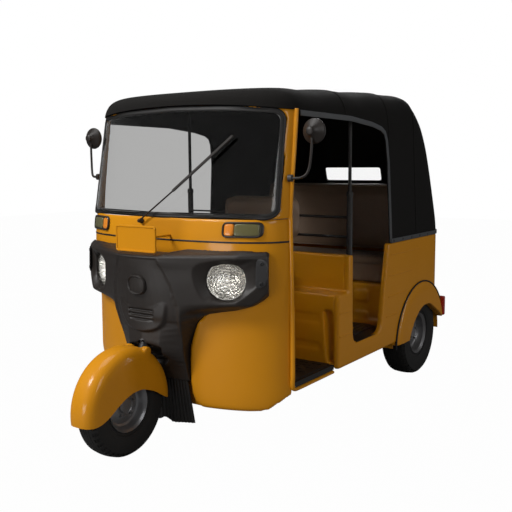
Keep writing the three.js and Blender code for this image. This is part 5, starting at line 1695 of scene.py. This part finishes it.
# %% Hood rail and its screws
RAIL_Z = 879
RAIL_SCREW = [(0, 0), (7, 0), (7, 1.2), (5, 3), (2, 3.8), (0, 4)]
straight = [at(635, lerp(1484, 2120, k / 12), RAIL_Z) for k in range(12)]
corner = [at(x, y, RAIL_Z) for x, y in body_plan(3, 1484)[1:18]]
rail = swept(with_mirror(straight + corner),
             [(-2.2, -12), (1.8, -12), (2.6, -9), (2.6, 9), (1.8, 12), (-2.2, 12)])
screws = [turned(RAIL_SCREW, at(s * 637, y, RAIL_Z), Vector((s, 0, 0)), 16)
          for y in (1520, 1644, 1768, 1892, 2016) for s in (1, -1)]
screws += [turned(RAIL_SCREW, at(x, 2341, RAIL_Z), Y, 16) for x in range(-360, 361, 120)]
piece(rail, "hood_rail_strip", "body", "grey_flange", "hood_rail", angle=35)
piece(joined(*screws), "hood_rail_screws", "body", "grey_flange", angle=35, look="screw_black")

# %% Hood welts
WELT = [(-7, -1.5), (7, -1.5), (7, 0.6), (4, 1.6), (0, 2.2), (-4, 1.6), (-7, 0.6)]
welts = []
for y, low in ((1010, hood_step(1545, 1010)), (1500, 0.4), (1850, 0.4)):
    half_line = []
    for k in range(60):
        p = hood_at(lerp(low, 12, k / 59), y, out=1.0)
        if p is None:
            break
        half_line.append(p)
    line = with_mirror(half_line)
    outward = [Vector((p.x, 0, max(0.05, p.z - 1.2) * 3)).normalized() for p in line]
    welts.append(swept(line, WELT, up=outward))
piece(joined(*welts), "hood_welts", "body", "canvas", angle=50)

window_path = [at(x, BODY_REAR - values_at(HOOD_STEPS, hood_step(z))["rear"] + 0.5, z)
               for x, z in WINDOW]
window_welt = swept(window_path, [(-9, -2), (9, -2), (8, 1.5), (0, 2.6), (-8, 1.5)],
                    closed=True, up=Vector((0, 1, 0.25)))
piece(window_welt, "rear_window_welt", "body", "canvas", angle=50)

# %% [markdown]
# ## Running gear and fittings
#
# Where a solid's shape is right, its copy gets pressed or cast edges: doubles are merged, flat
# faces joined, and each hard edge is bevelled.


# %% Refined copies
def refined(node, name, body, slot, width):
    """A copy of a CAD node with bevelled edges, which stands for it."""
    bm = bmesh.new()
    bm.from_mesh(NODES[node].data)
    bmesh.ops.remove_doubles(bm, verts=bm.verts, dist=1e-5)
    bmesh.ops.recalc_face_normals(bm, faces=bm.faces)
    bmesh.ops.dissolve_limit(bm, angle_limit=math.radians(1), verts=bm.verts, edges=bm.edges)
    hard = [e for e in bm.edges if e.is_manifold and e.calc_face_angle() > math.radians(35)]
    bmesh.ops.bevel(bm, geom=hard, offset=width, affect="EDGES", segments=2, profile=0.5,
                    material=-1, clamp_overlap=True)
    piece(bm, name, body, slot, node, angle=40)


refined("dashboard", "dashboard_pad", "body", "black_plastic", 0.004)
refined("chassis_frame", "chassis_weldment", "body", "dark_steel", 0.003)
for _, word in SIDES:
    refined(f"trailing_arm_{word}", f"trailing_arm_casting_{word}", "body", "dark_steel", 0.003)
refined("engine_block", "engine_casting", "body", "engine_metal", 0.008)
refined("fork", "fork_weldment", "steering", "dark_steel", 0.002)
refined("engine_lid", "engine_lid_panel", "lid", "yellow_paint", 0.0015)
for _, word in SIDES:
    refined(f"tail_lamp_{word}", f"tail_lamp_lens_{word}", "body", "red_lens", 0.003)

# %% [markdown]
# ## Cushions
#
# Each cushion starts as a closed rounded block at its real size. It is remeshed, blown up by the
# cloth solver while its resting side is held, and the movement is capped, so it crowns softly
# and stays flat where it rests. Piping and seams are laid on the finished surface.


# %% Blocks
def block(x, y, z, edge):
    """A closed block with rounded edges, between millimetre limits."""
    rings = []
    for k in range(5):
        a = math.pi / 2 * k / 4
        rings.append((edge * (1 - math.sin(a)), z[0] + edge * (1 - math.cos(a))))
    rings += [(i, z[0] + z[1] - h) for i, h in reversed(rings)]
    return skin_rings([[at(px, py, h) for px, py in
                        oblong(x[0] + i, x[1] - i, y[0] + i, y[1] - i, edge * 1.3)]
                       for i, h in rings])


# %% Cloth pass
CLOTH_FRAMES = 20


def inflate(obj, held):
    """Runs the cloth solver with pressure inside; the points that held picks stay."""
    group = obj.vertex_groups.new(name="held")
    group.add([v.index for v in obj.data.vertices if held(v.co)], 1.0, "REPLACE")
    cloth = obj.modifiers.new("cloth", "CLOTH")
    settings = cloth.settings
    settings.quality = 4
    settings.use_pressure = True
    settings.uniform_pressure_force = 4
    settings.vertex_group_mass = "held"
    settings.effector_weights.gravity = 0
    cloth.point_cache.frame_start = 1
    cloth.point_cache.frame_end = CLOTH_FRAMES
    for number in range(1, CLOTH_FRAMES + 1):
        bpy.context.scene.frame_set(number)
    apply_modifiers(obj)
    bpy.context.scene.frame_set(1)
    obj.vertex_groups.clear()


def plump(obj, voxel, held, cap, keep=1.0):
    """Blows a closed form up and caps how far each point moves."""
    remesh(obj, voxel)
    before = [v.co.copy() for v in obj.data.vertices]
    inflate(obj, held)
    for vertex, start in zip(obj.data.vertices, before):
        move = vertex.co - start
        if move.length > cap:
            vertex.co = start + move * (cap / move.length)
    smooth(obj, 3)
    thin_out(obj, keep)


# %% Piping
def piping(obj, path, radius, closed=True):
    """A cord dropped onto a surface, with the surface's own normals."""
    points, normals = [], []
    for p in path:
        _, place, normal, _ = obj.closest_point_on_mesh(p)
        points.append(place + normal * (radius * 0.0004))
        normals.append(normal)
    return swept(points, circle(radius, 8), closed=closed, up=normals)


# %% Driver's seat
seat = to_object(block((-325, 325), (632, 985), (662, 752), 26), "seat")
plump(seat, 0.007, lambda p: p.z < 0.672, 0.014, keep=0.6)
cord = piping(seat, [at(x, y, 735) for x, y in oblong(-318, 318, 640, 978, 34, 8)], 3.2)
piece(seat, "driver_cushion", "body", "leather", "driver_seat", angle=180)
piece(cord, "driver_cushion_piping", "body", "leather", angle=180)

# %% Driver's backrest
back_rest = to_object(extruded(oblong(-240, 240, 897, 1131, 68, 8), "y", 1104, 1161), "rest")
plump(back_rest, 0.0055, lambda p: p.y > 1.157 + STATION, 0.012, keep=0.6)
cord = piping(back_rest, [at(x, 1106, z) for x, z in oblong(-233, 233, 904, 1124, 64, 8)], 3.2)
piece(back_rest, "driver_back_pad", "body", "leather", "driver_backrest", angle=180)
piece(cord, "driver_back_piping", "body", "leather", angle=180)

# %% Bench cushion
bench_seat = to_object(block((-596, 596), (1582, 1946), (618, 752), 34), "bench_seat")
plump(bench_seat, 0.0085, lambda p: p.z < 0.628, 0.016)
cords = [piping(bench_seat, [at(x, y, 730) for x, y in oblong(-588, 588, 1590, 1940, 40, 8)],
                3.4)]
for s in (1, -1):
    over = [at(s * 512, 1575, z) for z in range(640, 735, 12)]
    over += [at(s * 512, y, 775) for y in range(1592, 1930, 24)]
    cords.append(piping(bench_seat, over, 2.0, closed=False))
piece(bench_seat, "bench_cushion", "body", "leather", "passenger_seat", angle=180)
piece(joined(*cords), "bench_cushion_piping", "body", "leather", angle=180)

# %% Bench back
LEAN = 70 / 430


def leaning(x, z, out):
    """A point in front of the bench back's rear face."""
    return at(x, 2040 + (z - 757) * LEAN - out, z)


back_outline = oblong(-541, 541, 760, 1184, 30, 8)
bench_back = to_object(skin_rings([
    [leaning(x * (1 - d / 541), 972 + (z - 972) * (1 - d / 212), out) for x, z in back_outline]
    for d, out in [(16, 1), (6, 4), (1, 12), (0, 24), (0, 58), (4, 68), (12, 75), (22, 78)]]),
    "bench_back")
plump(bench_back, 0.0085, lambda p: leaning(0, p.z * 1000, 10).y < p.y, 0.010)
cord = piping(bench_back, [leaning(x, z, 80) for x, z in oblong(-532, 532, 769, 1175, 34, 8)],
              3.4)
piece(bench_back, "bench_back_pad", "body", "leather", "passenger_backrest", angle=180)
piece(cord, "bench_back_piping", "body", "leather", angle=180)
